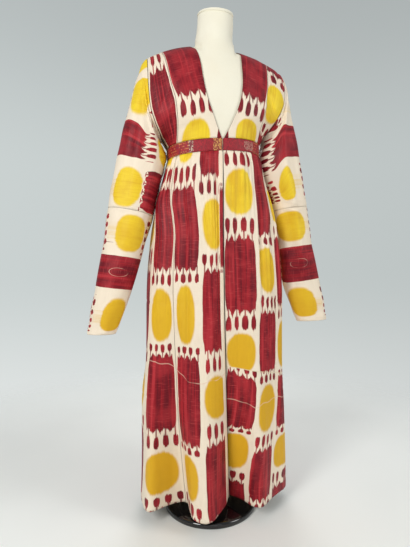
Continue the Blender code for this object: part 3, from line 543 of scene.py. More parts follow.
def bodice_samples():
    """Points all over the bodice's outer face, and the way each faces."""
    rows, across = np.meshgrid(np.linspace(0.01, 0.99, 50), np.linspace(0, 1, 14))
    rows, across = rows.ravel(), across.ravel()
    points, normals = [], []
    for side in (-1, 1):
        for back in (False, True):
            low = neck_half_width(rows, side, back)
            width = low + (bodice_row("edge_left" if side > 0 else "edge_right", rows) - low) * across
            here = tilt(bodice_point(width, rows, side, back))
            up = tilt(bodice_point(width, rows + 0.005, side, back)) - here
            aside = tilt(bodice_point(width + 0.001, rows, side, back)) - here
            normal = np.cross(aside, up)
            normal /= np.linalg.norm(normal, axis=-1, keepdims=True)
            outward = here - np.array([0, SIDE_Y, 1.2])
            normal *= np.sign((normal * outward).sum(axis=-1, keepdims=True))
            points.append(here)
            normals.append(normal)
    return np.concatenate(points), np.concatenate(normals)


# The stand's turned profiles as (radius, height) pairs, from the top down the outer side.
BASE_PROFILE = (
    (0.0, 0.0330),
    (0.0220, 0.0330),
    (0.0260, 0.0300),
    (0.0600, 0.0265),
    (0.1000, 0.0220),
    (0.1300, 0.0170),
    (0.1370, 0.0145),
    (BASE_RADIUS, 0.0110),
    (BASE_RADIUS, 0.0030),
    (0.1380, 0.0),
    (0.0, 0.0),
)



# ---------------------------------------------------------------- finer shapes

def over_the_shoulder(along):
    """(row, back) of a place along a piece that runs from the front band over to the back band."""
    fold = 2 * along - 1
    return 1 - abs(fold) ** 1.5, fold > 0


def bodice_piece(side, inner, outer):
    """The place function of a bodice piece between two edges, each a function of row and back."""

    def place(across, along):
        row, is_back = over_the_shoulder(along)
        points = np.empty(across.shape + (3,))
        for back in (False, True):
            chosen = is_back == back
            r = row[chosen]
            low = inner(r, back) + SEAM_GAP / 2
            high = outer(r, back) - SEAM_GAP / 2
            points[chosen] = bodice_point(low + (high - low) * across[chosen], r, side, back)
        return tilt(points)

    return place


def skirt_panel(first, last):
    """The place function of one skirt panel, from the hem up, held back from its seams by half the gap."""

    def place(across, along):
        height = HEM_Z + (BAND_BOTTOM_Z - 0.0002 - HEM_Z) * along
        edges = []
        for column, inward in ((first, 1), (last, -1)):
            step = skirt_point(0 * height + column + inward * 0.01, height) - skirt_point(0 * height + column, height)
            gap = FRONT_EDGE_GAP if column in (0, COLUMNS_ROUND) else SEAM_GAP
            edges.append(column + inward * 0.01 * (gap / 2) / np.linalg.norm(step, axis=-1))
        column = edges[0] + (edges[1] - edges[0]) * across
        return tilt(skirt_point(column, height))

    return place


# How far the sleeves' cloth swings towards the body under the arm, and between which rings.
UNDERARM_FOLD = {"front": {-1: 0.0048, 1: 0.0036}, "back": 0.018, "rings": {-1: (0.9, 6.8), 1: (1.2, 8.6)}}


def sleeve_piece(side, first, last):
    """The place function of a length of sleeve between two rings."""

    def place(across, along):
        turns, turn_at = np.unique(np.round(across, 6), return_inverse=True)
        around = turns % 1.0
        rings = sleeve_rings(around, side)
        ahead = rings[1] - rings[0]
        length = np.linalg.norm(ahead, axis=-1, keepdims=True)
        level = np.array([side, 0.0, -0.45]) / math.hypot(1, 0.45) * length
        on_top = ease(0.12, 0.45, 0.5 - abs(around - 0.5))[:, None]
        start = ahead + on_top * 0.6 * (level - ahead)
        ring = first + (last - first) * along
        points = np.empty(across.shape + (3,))
        for i in range(len(turns)):
            chosen = turn_at == i
            points[chosen] = through(np.arange(len(rings)), rings[:, i], ring[chosen], start=start[i], smooth=False)
        hold_back = (1 - np.clip(ring, 0, 1))[:, None]
        from_inside = 0.5 - abs(across % 1.0 - 0.5)
        low, high = UNDERARM_FOLD["rings"][side]
        under_arm = ease(low, low + 1.6, ring) * (1 - ease(high - 1.0, high, ring))
        fold = UNDERARM_FOLD["front"][side] * (1 - ease(0.03, 0.15, from_inside))
        if side < 0:
            fold = fold + 0.0034 * hump(ring, 2.6, 0.8) * (1 - ease(0.05, 0.15, from_inside))
            fold = fold + 0.0080 * hump(ring, 2.2, 0.8) * hump(across % 1.0, 0.94, 0.05)
            fold = fold + UNDERARM_FOLD["back"] * hump(across % 1.0, 0.89, 0.06)
        points[:, 0] -= side * under_arm * fold
        return points + (ahead / length)[turn_at] * ARMHOLE_GAP * hold_back

    return place


def under_cloth(points):
    """The points, with those that would reach the bodice moved back under it."""
    samples, normals = bodice_samples()
    tree = KDTree(len(samples))
    for i, sample in enumerate(samples):
        tree.insert(sample, i)
    tree.balance()
    points = points.copy()
    for _ in range(2):
        nearest = np.array([tree.find(point)[1] for point in points])
        offset = points - samples[nearest]
        normal = normals[nearest]
        above = (offset * normal).sum(axis=-1)
        aside = np.linalg.norm(offset - above[:, None] * normal, axis=-1)
        covered = (1 - ease(0.012, 0.022, aside)) * (1 - ease(0.008, 0.016, above))
        covered *= points[:, 2] > BAND_TOP_Z
        points -= (covered * np.clip(above + CLOTH_TO_FORM, 0, None))[:, None] * normal
    return points


def uneven(x, y, seed, waves=8):
    """A smooth uneven surface between about -1 and 1, made of slanted waves."""
    chance = np.random.default_rng(seed)
    total = 0 * x
    for _ in range(waves):
        angle, phase, scale = chance.uniform(0, math.pi), chance.uniform(0, 2 * math.pi), chance.uniform(0.5, 1.7)
        total = total + np.sin(scale * (x * math.cos(angle) + y * math.sin(angle)) + phase)
    return total / math.sqrt(waves)


# ---------------------------------------------------------------- the ikat's layout

# The figures repeat down each cloth column: a crimson block at each whole phase and a yellow
# disc half way between two blocks.
BLOCK = 0.235
DISC = 0.165
REPEAT = 0.44
COLUMN_WIDTH = 0.122


def figures(first, *spans, repeat=REPEAT):
    """The (place, phase) knots of a column from its figures' tops and bottoms, downwards."""
    places, phases = [spans[0][0] + repeat], [first - 1 - (BLOCK if first % 1 == 0 else DISC)]
    for i, (top, bottom) in enumerate(spans):
        middle = first + i / 2
        half = BLOCK if middle % 1 == 0 else DISC
        places += [top, bottom]
        phases += [middle - half, middle + half]
    places.append(places[-1] - repeat)
    phases.append(phases[-1] + 1)
    return np.array(places), np.array(phases)


def held_close(knots, blank):
    """The knots with the first block's droplets kept within blank, and plain cloth from there to the disc."""
    places, phases = knots
    return np.insert(places, 3, blank), np.insert(phases, 3, 0.333)


def regular(middle_of_block):
    """The figures of a column that repeats evenly."""
    places = np.array([middle_of_block + REPEAT, middle_of_block - REPEAT])
    return places, np.array([-1.0, 1.0])


def phase_at(knots, place):
    return np.interp(-place, -knots[0], knots[1])


# Columns of each skirt panel: where they begin round the hem, the last one's end, and their
# figures. The last columns of the right front are its outer column and its red edge strip.
SKIRT_COLUMNS = {
    "skirt_front_left": (
        (-0.05, 1.03, 2.12, 3.10),
        (
            figures(0, (1.27, 1.062), (1.003, 0.876), (0.811, 0.603), (0.543, 0.430)),
            figures(0, (1.09, 0.823), (0.788, 0.655), (0.600, 0.425), (0.390, 0.254), (0.207, 0.064)),
            figures(
                0.5, (0.959, 0.858), (0.819, 0.616), (0.570, 0.425), (0.406, 0.250), (0.224, 0.126), (0.075, -0.1)
            ),
        ),
    ),
    "skirt_side_left": ((2.15, 3.20, 4.25, 5.30), (regular(0.73), regular(0.94), regular(0.71))),
    "skirt_back": ((4.55, 5.60, 6.65, 7.70), (regular(0.95), regular(0.72), regular(0.93))),
    "skirt_side_right": (
        (7.02, 8.05, 9.07, 10.10),
        (
            regular(0.83),
            figures(0.5, (0.902, 0.791), (0.720, 0.495), (0.450, 0.310), (0.265, 0.060)),
            figures(0.5, (1.16, 1.033), (0.964, 0.721), (0.671, 0.520), (0.484, 0.268), (0.208, 0.088)),
        ),
    ),
    "skirt_front_right": (
        (10.10, 11.10, 12.13, 12.40),
        (
            figures(0.5, (1.16, 1.028), (0.958, 0.721), (0.680, 0.515), (0.482, 0.242), (0.214, 0.089)),
            figures(0, (1.20, 0.986), (0.920, 0.776), (0.721, 0.496), (0.430, 0.312), (0.246, 0.041)),
            (np.array([1.5, 0.965, 0.95, 0.727, 0.712, 0.0]), np.array([-0.33, -0.33, -0.235, 0.235, 0.33, 0.33])),
        ),
    ),
}
EDGE_STRIP = 12.13
# Below its pieced seam the left front's first column starts again with a cut block, a little aslant.
PIECED_SEAM = {"piece": "skirt_front_left", "front": 0.448, "slope": -0.0155}
BELOW_THE_SEAM = figures(0, (0.443, 0.265), (0.250, 0.137), (0.101, -0.10))
# How many columns this panel's figures drift towards the opening at the hem, and where that starts.
SKIRT_DRIFT = {"piece": "skirt_front_left", "columns": 0.5, "from": 0.42}
# Creases that were pressed into the skirt when it lay folded, each drawn as a pale line of painted highlight: across
# the front, their heights at the columns of the hem.
CREASE = table(
    "column height",
    (0.0, 0.353),
    (0.9, 0.333),
    (1.4, 0.340),
    (3.0, 0.344),
    (7.0, 0.462),
    (9.4, 0.468),
    (10.1, 0.448),
    (10.7, 0.415),
    (11.5, 0.413),
    (12.3, 0.432),
)

# The bodice's figures by the way up the front and over the shoulder to the back.
BODICE_RUN = 0.36
BODICE_COLUMN = 0.102
BODICE_COLUMNS = {
    "body_panel_right": (figures(0, (0.440, 0.140), (0.065, -0.065)), figures(0.5, (0.26, 0.13), (0.045, -0.16))),
    "body_panel_left": (figures(0, (0.440, 0.143), (0.070, -0.030)), figures(0.5, (0.26, 0.13), (0.045, -0.16))),
    "side_panel_right": (figures(0.5, (0.520, 0.370), (0.262, -0.020)), None),
    "side_panel_left": (figures(0, (0.490, 0.290), (0.238, 0.094), (0.040, -0.16)), None),
}

# Columns along each sleeve: the ring where each begins, and its figures by the turn round the
# arm, inwards from the outer side. A plain stretch has no figures. Near the shoulder the columns
# cross the rings aslant.
ROUND_THE_ARM = 0.76
PLAIN = (np.array([1.0, -1.0]), np.array([0.33, 0.33]))
# A block under the arm, with its droplets and nothing further out.
UNDER_THE_ARM = (np.array([1.0, 0.205, 0.160, -0.250]), np.array([-0.34, -0.33, -0.235, 0.235]))
# A disc, and close to it a block with short teeth and no droplets.
DISC_AND_BLOCK = (
    np.array([0.95, 0.60, 0.50, 0.422, 0.204, 0.2005, 0.1995, 0.185, -0.12, -0.88]),
    np.array([-0.235, 0.235, 0.333, 0.335, 0.665, 0.668, 0.752, 0.780, 1.235, 2.235]),
)
SLEEVE_COLUMNS = {
    -1: (
        (-2.08, figures(0.5, (0.560, 0.380), repeat=ROUND_THE_ARM)),
        (0.19, PLAIN),
        (0.71, figures(0.5, (0.480, 0.190), repeat=ROUND_THE_ARM)),
        (2.95, figures(0, (0.620, 0.245), (0.140, -0.100), repeat=ROUND_THE_ARM)),
        (4.35, PLAIN),
        (4.47, DISC_AND_BLOCK),
        (5.85, held_close(figures(0, (0.800, 0.490), (0.338, 0.104), repeat=ROUND_THE_ARM), 0.410)),
        (7.05, figures(0, (0.680, -0.060), repeat=ROUND_THE_ARM)),
        (8.04, PLAIN),
        (8.14, held_close(figures(0, (0.800, 0.485), (0.305, 0.045), repeat=ROUND_THE_ARM), 0.400)),
        (9.86, PLAIN),
    ),
    1: (
        (-3.00, PLAIN),
        (1.45, UNDER_THE_ARM),
        (2.50, PLAIN),
        (2.62, figures(0, (0.620, 0.150), (0.018, -0.200), repeat=ROUND_THE_ARM)),
        (3.95, PLAIN),
        (4.02, held_close(figures(0, (0.900, 0.425), (0.266, 0.130), repeat=ROUND_THE_ARM), 0.360)),
        (5.20, PLAIN),
        (5.45, held_close(figures(0, (0.900, 0.430), (0.310, 0.013), repeat=ROUND_THE_ARM), 0.372)),
        (6.76, figures(0, (0.620, -0.060), repeat=ROUND_THE_ARM)),
        (7.98, held_close(figures(0, (0.900, 0.450), (0.305, 0.000), repeat=ROUND_THE_ARM), 0.380)),
        (9.75, PLAIN),
    ),
}
LAST_SLEEVE_RING = {-1: 10.1, 1: 10.1}
# A faint oval in the lowest crimson band: its turn and ring, and its half sizes in them.
SLEEVE_OVAL = {-1: (0.250, 7.53, 0.078, 0.11), 1: (0.200, 7.36, 0.078, 0.13)}
# How far outwards the columns lean as they go down, on the outer side and under the arm, and the
# turn at which a column's place is counted in rings.
SLEEVE_LEAN = {-1: (0.33, 0.05), 1: (0.22, 0.22)}
LEVEL_TURNS = (0.375, 0.25)


def arm_level(side):
    """How far down the sleeve each point lies, in rings, with columns that lie level though the rings lean."""
    turns, rings = np.linspace(0, 1, 73), np.linspace(0, 10, 101)
    turn, ring = np.meshgrid(turns, rings, indexing="ij")
    points = sleeve_piece(side, 0.0, 10.0)(turn.ravel(), ring.ravel() / 10)
    levels = []
    for lean, level_turn in zip(SLEEVE_LEAN[side], LEVEL_TURNS):
        down = (side * points[:, 0] * math.sin(lean) - points[:, 2] * math.cos(lean)).reshape(turn.shape)
        middle = down[round(level_turn * 72)]
        levels.append(np.interp(down, middle, rings) + np.minimum(down - middle[0], 0) / 0.09)
    inside = 1 - ease(0.14, 0.24, 0.5 - abs(turn - 0.5))
    if side < 0:
        lower = ring + (levels[1] - ring) * (1 - ease(0.22, 0.28, 0.5 - abs(turn - 0.5)))
        level = levels[0] + (lower - levels[0]) * ease(2.6, 3.4, levels[0])
    else:
        level = levels[0] - 0.38 * inside * ease(1.6, 2.6, levels[0])
    level += ease(4.6, 5.4, ring) * (ring - level)

    def at(turn, ring):
        i, j = np.clip(turn % 1.0 * 72, 0, 71.999), np.clip(ring * 10, 0, 99.999)
        a, b = i.astype(int), j.astype(int)
        s, t = i - a, j - b
        first = (1 - t) * level[a, b] + t * level[a, b + 1]
        second = (1 - t) * level[a + 1, b] + t * level[a + 1, b + 1]
        return (1 - s) * first + s * second

    return at


def skirt_lay(piece, first, last, seed):
    """The cloth's coordinates on a skirt panel: metres of cloth, figures, figures below a pieced seam, and edges."""
    edges, columns = SKIRT_COLUMNS[piece]
    edges = np.array(edges)
    drift = SKIRT_DRIFT["columns"] * (piece == SKIRT_DRIFT["piece"])

    def drifted(across, along):
        height = HEM_Z + (BAND_BOTTOM_Z - HEM_Z) * along
        low = (1 - ease(HEM_Z, SKIRT_DRIFT["from"], height)) * (1 - ease(0.72, 1.0, across))
        return first + (last - first) * across + drift * low

    def lay(across, along, middle_across, middle_along):
        column = first + (last - first) * across
        height = HEM_Z + (BAND_BOTTOM_Z - HEM_Z) * along
        number = np.clip(np.searchsorted(edges, drifted(middle_across, middle_along)) - 1, 0, len(columns) - 1)
        ends = np.where(edges[number + 1] == EDGE_STRIP, edges[-1], edges[number + 1])
        u = seed + number + (drifted(across, along) - edges[number]) / (ends - edges[number])
        phase = np.choose(number, [phase_at(knots, height) for knots in columns])
        low = phase
        below = np.full(across.shape, -1.0)
        if piece == PIECED_SEAM["piece"]:
            aslant = height + 0.045 * column * ease(0.33, 0.43, height)
            low = np.where(number == 0, phase_at(BELOW_THE_SEAM, aslant) + 4, phase)
            below = PIECED_SEAM["front"] + PIECED_SEAM["slope"] * column - height
        from_edge = np.minimum(across, 1 - across) * (last - first) * 0.10
        wander = 0.004 * uneven(column * 9, height * 0, 51)
        return {
            "weave": (column * COLUMN_WIDTH, height),
            "crease": height - np.interp(column, CREASE["column"], CREASE["height"]) - wander,
            "ikat": (u, phase),
            "ikat_below": (u, low),
            "pieced": below,
            "edge": from_edge,
        }

    return lay


def bodice_lay(piece, side, seed):
    """The cloth's coordinates on a bodice piece, counted from the seam between the body and side panels."""
    body = piece.startswith("body")

    def lay(across, along, middle_across, middle_along):
        row, back = over_the_shoulder(along)
        seam = seam_half_width(row, side)
        edge = bodice_row("edge_left" if side > 0 else "edge_right", row)
        neck = np.where(back, neck_half_width(row, side, True), neck_half_width(row, side, False))
        low, high = (neck, seam) if body else (seam, edge)
        width = low + (high - low) * across
        run = np.where(back, 2 * BODICE_RUN - BODICE_RUN * row, BODICE_RUN * row)
        near, far = BODICE_COLUMNS[piece]
        phase = phase_at(near, run)
        from_seam = across if side < 0 else 0.13 + 0.75 * across
        if body:
            from_seam = (width - seam - 0.004) / BODICE_COLUMN + 1
            middle_row, middle_back = over_the_shoulder(middle_along)
            middle_seam = seam_half_width(middle_row, side)
            middle_neck = np.where(
                middle_back, neck_half_width(middle_row, side, True), neck_half_width(middle_row, side, False)
            )
            middle_width = middle_neck + (middle_seam - middle_neck) * middle_across
            outer_column = (middle_width - middle_seam - 0.004) / BODICE_COLUMN + 1 >= 0
            phase = np.where(outer_column, phase, phase_at(far, run))
        u = seed + from_seam
        return {
            "weave": (width, run),
            "crease": np.ones(across.shape),
            "ikat": (u, phase),
            "ikat_below": (u, phase),
            "pieced": np.full(across.shape, -1.0),
            "edge": np.minimum(across, 1 - across) * (high - low),
        }

    return lay


def sleeve_lay(side, first, last, seed):
    """The cloth's coordinates on a sleeve, whose warp runs round the arm."""
    edges = np.array([start for start, _ in SLEEVE_COLUMNS[side]] + [LAST_SLEEVE_RING[side]])
    columns = [knots for _, knots in SLEEVE_COLUMNS[side]]
    plain = np.array([knots is PLAIN for knots in columns])
    level = arm_level(side)
    oval_turn, oval_ring, half_turn, half_ring = SLEEVE_OVAL[side]

    def lay(across, along, middle_across, middle_along):
        ring = level(across, first + (last - first) * along)
        number = np.searchsorted(edges, level(middle_across, first + (last - first) * middle_along)) - 1
        number = np.clip(number, 0, len(columns) - 1)
        u = np.clip((ring - edges[number]) / (edges[number + 1] - edges[number]), 0.001, 0.999)
        u = seed + number + np.where(plain[number], 0.975, u)
        phase = np.choose(number, [phase_at(knots, across) for knots in columns]) + 8
        oval = np.hypot((across - oval_turn) / half_turn, (ring - oval_ring) / half_ring)
        return {
            "weave": (u * COLUMN_WIDTH, across * 0.40),
            "crease": (oval - 1) * 0.030,
            "ikat": (u, phase),
            "ikat_below": (u, phase),
            "pieced": np.full(across.shape, -1.0),
            # The edge distance sets the painted seam shade, which stays fainter away from the armhole.
            "edge": np.minimum(along, 1 - along) * (last - first) * 0.07 + 0.0006 * ease(0.5, 1.0, ring),
        }

    return lay


# ---------------------------------------------------------------- shader fields

class Field:
    """A number that changes over a surface, made by Math nodes."""

    def __init__(self, tree, socket):
        self.tree, self.socket = tree, socket

    def maths(self, operation, *others):
        node = self.tree.nodes.new("ShaderNodeMath")
        node.operation = operation
        for socket, value in zip(node.inputs, (self, *others)):
            put(self.tree, socket, value)
        return Field(self.tree, node.outputs[0])

    def __add__(self, other):
        return self.maths("ADD", other)

    def __sub__(self, other):
        return self.maths("SUBTRACT", other)

    def __mul__(self, other):
        return self.maths("MULTIPLY", other)

    def __truediv__(self, other):
        return self.maths("DIVIDE", other)

    def __abs__(self):
        return self.maths("ABSOLUTE")

    def power(self, exponent):
        return self.maths("POWER", exponent)

    def over(self, limit):
        """1 where this is above the limit, with a hard step."""
        return self.maths("GREATER_THAN", limit)

    def under(self, limit):
        return self.maths("LESS_THAN", limit)

    def rise(self, low, high, bottom=0.0, top=1.0):
        """A soft step between low and high."""
        node = self.tree.nodes.new("ShaderNodeMapRange")
        node.interpolation_type = "SMOOTHSTEP"
        for socket, value in zip(node.inputs, (self, low, high, bottom, top)):
            put(self.tree, socket, value)
        return Field(self.tree, node.outputs[0])


def put(tree, socket, value):
    """Joins a field or socket to an input, or sets a plain number or colour on it."""
    if isinstance(value, Field):
        tree.links.new(value.socket, socket)
    elif isinstance(value, bpy.types.NodeSocket):
        tree.links.new(value, socket)
    else:
        socket.default_value = value


def joined(tree, x, y, z=0.0):
    node = tree.nodes.new("ShaderNodeCombineXYZ")
    for socket, value in zip(node.inputs, (x, y, z)):
        put(tree, socket, value)
    return node.outputs[0]


def noise(tree, vector, scale=1.0, detail=2.0, roughness=0.5):
    """Smooth noise, mostly between 0.25 and 0.75."""
    node = tree.nodes.new("ShaderNodeTexNoise")
    put(tree, node.inputs["Vector"], vector)
    node.inputs["Scale"].default_value = scale
    node.inputs["Detail"].default_value = detail
    node.inputs["Roughness"].default_value = roughness
    return Field(tree, node.outputs[0])


def chance(tree, vector):
    """A number from 0 to 1 that is the same for the same whole numbers."""
    node = tree.nodes.new("ShaderNodeTexWhiteNoise")
    put(tree, node.inputs["Vector"], vector)
    return Field(tree, node.outputs["Value"])


def blend(tree, factor, first, second, kind="MIX"):
    """Two colours mixed by a factor."""
    node = tree.nodes.new("ShaderNodeMix")
    node.data_type = "RGBA"
    node.blend_type = kind
    for i, value in ((0, factor), (6, first), (7, second)):
        put(tree, node.inputs[i], value if not isinstance(value, tuple) else (*value, 1)[:4])
    return node.outputs[2]


def new_group(name, inputs, outputs):
    """A shader node group with named sockets, its input fields and a function that sets an output."""
    group = bpy.data.node_groups.new(name, "ShaderNodeTree")
    for direction, sockets in (("INPUT", inputs), ("OUTPUT", outputs)):
        for label, kind in sockets.items():
            group.interface.new_socket(label, in_out=direction, socket_type="NodeSocket" + kind)
    entry = group.nodes.new("NodeGroupInput")
    exit_node = group.nodes.new("NodeGroupOutput")
    fields = {label: Field(group, entry.outputs[label]) for label in inputs}
    return group, fields, lambda label, value: put(group, exit_node.inputs[label], value)


def placed(tree, group, **values):
    """A node group placed in a tree, with spaces in its socket names for underscores."""
    node = tree.nodes.new("ShaderNodeGroup")
    node.node_tree = group
    for label, value in values.items():
        put(tree, node.inputs[label.replace("_", " ")], value)
    return node


# Droplets across a column of the skirt and body panels, of the narrow side panels and of the
# sleeves, and the numbers that tell these columns apart.
DROPLETS = 4.2
SIDE_PANEL_DROPLETS = 2.6
SLEEVE_DROPLETS = 5.2
SIDE_PANEL_COLUMNS = (48.5, 55.0)
BODY_PANEL_COLUMNS = (57.0, 63.0)
NARROW_DISCS = (40.0, 41.0)
FIRST_SLEEVE_COLUMN = 70.0


def ikat_figure_group():
    """Where the crimson and the yellow lie, from the column and the phase along the warp."""
    group, given, send = new_group(
        "ikat_figure", {"Column": "Float", "Phase": "Float"}, {"Crimson": "Float", "Yellow": "Float"}
    )
    column, phase = given["Column"], given["Phase"]
    number = column.maths("FLOOR")
    across = column - number - 0.5
    threads = noise(group, joined(group, column * 70.0, phase * 3.0, number), detail=1.0) - 0.5
    bundles = noise(group, joined(group, column * 11.0, phase * 3.0, number), detail=1.0) - 0.5
    place = phase + threads * 0.034 + bundles * 0.030
    whole = place.maths("ROUND")
    local = place - whole
    sign = local.maths("SIGN")
    beyond = abs(local) - BLOCK
    end = whole * 2.0 + sign
    wobble = noise(group, joined(group, number * 3.7, phase * 9.0, sign), detail=2.0) - 0.5
    aside = abs(across + wobble * 0.030)

    pitch = column.over(FIRST_SLEEVE_COLUMN) * (SLEEVE_DROPLETS - DROPLETS) + DROPLETS
    on_side_panel = column.over(SIDE_PANEL_COLUMNS[0]) * column.under(SIDE_PANEL_COLUMNS[1])
    pitch = pitch - on_side_panel * (DROPLETS - SIDE_PANEL_DROPLETS)
    slip = chance(group, joined(group, number, end, 3.0)) - 0.5
    count = across * pitch + slip * 0.5 + 0.5
    which = count.maths("ROUND")
    off = abs(count - which)
    luck = chance(group, joined(group, which, number, end))
    other_luck = chance(group, joined(group, which, number, end + 40.0))

    # Between two stems the block runs out in a short tooth, and it draws back at each stem.
    tooth = off.rise(0.04, 0.5) * (luck * 0.018 + 0.016) - 0.014
    narrowing = beyond.rise(-0.10, 0.01) * 0.045
    body = (aside + narrowing).rise(0.438, 0.452, 1.0, 0.0) * (beyond - tooth).rise(-0.003, 0.004, 1.0, 0.0)
    stem = off.rise(0.055, 0.105, 1.0, 0.0) * beyond.over(-0.02) * beyond.under(0.05) * aside.under(0.43)
    middle = luck * 0.010 + 0.048
    out = (beyond - middle) / (other_luck * 0.006 + 0.029)
    half_width = (other_luck * 0.07 + 0.27) * (out * 0.10 + 1.0)
    drop = (off / half_width).power(2.6) + abs(out).power(2.6)
    drop = drop.rise(0.80, 1.20, 1.0, 0.0) * aside.under(0.455)
    send("Crimson", body.maths("MAXIMUM", stem * 0.85).maths("MAXIMUM", drop))

    soft = phase + threads * 0.030 + bundles * 0.026
    from_middle = abs(soft - soft.maths("FLOOR") - 0.5) / DISC
    on_body_panel = column.over(BODY_PANEL_COLUMNS[0]) * column.under(BODY_PANEL_COLUMNS[1])
    on_narrow = column.over(NARROW_DISCS[0]) * column.under(NARROW_DISCS[1])
    half_width = chance(group, joined(group, number, 7.0, 1.0)) * 0.025 + 0.415 - on_body_panel * 0.06
    half_width = half_width - on_narrow * 0.08
    disc = (abs(across + wobble * 0.03) / half_width).power(2.4) + from_middle.power(2.4)
    send("Yellow", disc.rise(0.78, 1.14, 1.0, 0.0))
    return group


def ikat_cloth_group(figure):
    """The ikat's colour, with painted sheen and painted shade in it, and its gloss and relief."""
    group, given, send = new_group(
        "ikat_cloth",
        {
            "Weave": "Vector",
            "Ikat": "Vector",
            "Ikat Below": "Vector",
            "Pieced": "Float",
            "Crease": "Float",
            "Edge": "Float",
            "Level": "Float",
            "Crimson": "Color",
            "Yellow": "Color",
            "Cream": "Color",
        },
        {"Color": "Color", "Roughness": "Float", "Height": "Float"},
    )
    parts = {}
    for label in ("Weave", "Ikat", "Ikat Below"):
        node = group.nodes.new("ShaderNodeSeparateXYZ")
        put(group, node.inputs[0], given[label])
        parts[label] = Field(group, node.outputs[0]), Field(group, node.outputs[1])
    low = given["Pieced"].over(0.0)
    masks = []
    for label in ("Ikat", "Ikat Below"):
        masks.append(placed(group, figure, Column=parts[label][0], Phase=parts[label][1]).outputs)
    mixed = {}
    for label in ("Crimson", "Yellow"):
        above, below = (Field(group, outputs[label]) for outputs in masks)
        mixed[label] = above + (below - above) * low
    column, phase = parts["Ikat"]
    x, y = parts["Weave"]
    streaks = noise(group, joined(group, column * 46.0, phase * 4.0, 0.0), detail=2.0, roughness=0.6)
    cloudy = noise(group, joined(group, x, y, 0.0), scale=14.0, detail=3.0)
    ribs = noise(group, joined(group, x * 40.0, y * 900.0, 0.0), detail=1.0)
    watered = noise(group, joined(group, x * 26.0, y * 330.0 + cloudy * 3.0, 0.0), detail=2.0, roughness=0.6)
    # Dark and bright copies of the crimson, mixed in by noise and darker on the bodice: partly uneven dye, partly
    # painted shade of small folds and painted satin sheen.
    dark = blend(group, 0.72, given["Crimson"], (0.060, 0.0025, 0.010))
    bright = blend(group, 0.60, given["Crimson"], (0.60, 0.045, 0.055))
    bands = noise(group, joined(group, column * 9.0, phase * 1.3, 5.0), detail=2.0, roughness=0.6)
    on_bodice = column.over(SIDE_PANEL_COLUMNS[0]) * column.under(BODY_PANEL_COLUMNS[1])
    crimson = blend(group, on_bodice * 0.40, given["Crimson"], dark)
    crimson = blend(group, streaks.rise(0.30, 0.60, 0.8, 0.0), crimson, dark)
    crimson = blend(group, bands.rise(0.47, 0.60) * 0.85, crimson, dark)
    crimson = blend(group, bands.rise(0.46, 0.34) * 0.80, crimson, bright)
    crimson = blend(group, cloudy.rise(0.42, 0.66) * 0.50, crimson, bright)
    # Painted sheen: the crimson turns a lighter pink along the watered lines.
    crimson = blend(group, watered.rise(0.54, 0.72) * 0.34, crimson, (0.64, 0.100, 0.095))
    # Golden copies of the yellow, mixed in by noise and more golden lower down: partly uneven dye, partly painted
    # shade of small folds.
    golden = blend(group, 0.85, given["Yellow"], (0.66, 0.34, 0.014))
    lower = blend(group, 0.80, given["Yellow"], (0.68, 0.34, 0.012))
    yellow = blend(group, given["Level"].rise(0.35, 1.15), lower, given["Yellow"])
    yellow = blend(group, cloudy.rise(0.38, 0.68) * 0.55 + streaks.rise(0.42, 0.75) * 0.35, yellow, golden)
    yellow = blend(group, watered.rise(0.55, 0.75) * 0.25, yellow, golden)
    yellow = blend(group, bands.rise(0.52, 0.72) * 0.55, yellow, golden)
    grey = blend(group, 0.45, given["Cream"], (0.55, 0.42, 0.29))
    cream = blend(group, ribs.rise(0.50, 0.80) * 0.25 + cloudy.rise(0.48, 0.8) * 0.40, given["Cream"], grey)
    cream = blend(group, watered.rise(0.58, 0.78) * 0.35, cream, grey)
    colour = blend(group, mixed["Yellow"], cream, yellow)
    colour = blend(group, mixed["Crimson"], colour, crimson)
    stitch = abs(given["Pieced"]).rise(0.0006, 0.0016, 1.0, 0.0)
    colour = blend(group, stitch * 0.75, colour, (0.80, 0.66, 0.44))
    # A pale line at the crease attribute's zero: on the skirt a painted highlight along each pressed crease, on the
    # sleeves the outline of the faint oval.
    crease = abs(given["Crease"]).rise(0.0006, 0.0019, 1.0, 0.0) * cloudy.rise(0.34, 0.52)
    colour = blend(group, crease * 0.60, colour, (0.80, 0.56, 0.42))
    # Painted shade: the cloth darkens within about a millimetre of each seam and piece edge.
    seam = given["Edge"].rise(0.0003, 0.0013, 0.50, 0.0)
    colour = blend(group, seam, colour, (0.055, 0.045, 0.035))
    send("Color", colour)
    crumpled = noise(group, joined(group, x, y * 1.5, 3.0), scale=34.0, detail=3.0)
    send("Roughness", streaks * 0.16 + 0.40 + cloudy * 0.10)
    send("Height", crumpled * 6.0 + ribs * 0.5 + watered * 0.4 + streaks * 0.3 + stitch * 0.6)
    return group


def attribute(tree, name):
    node = tree.nodes.new("ShaderNodeAttribute")
    node.attribute_name = name
    return Field(tree, node.outputs["Fac"])


def uv(tree, name):
    node = tree.nodes.new("ShaderNodeUVMap")
    node.uv_map = name
    return node.outputs[0]


def new_material(name):
    """A material with its tree and its Principled shader."""
    material = bpy.data.materials.new(name)
    material.use_nodes = True
    return material, material.node_tree, material.node_tree.nodes["Principled BSDF"]


def bump(tree, shader, height, distance, strength=0.5):
    node = tree.nodes.new("ShaderNodeBump")
    node.inputs["Strength"].default_value = strength
    node.inputs["Distance"].default_value = distance
    put(tree, node.inputs["Height"], height)
    tree.links.new(node.outputs[0], shader.inputs["Normal"])


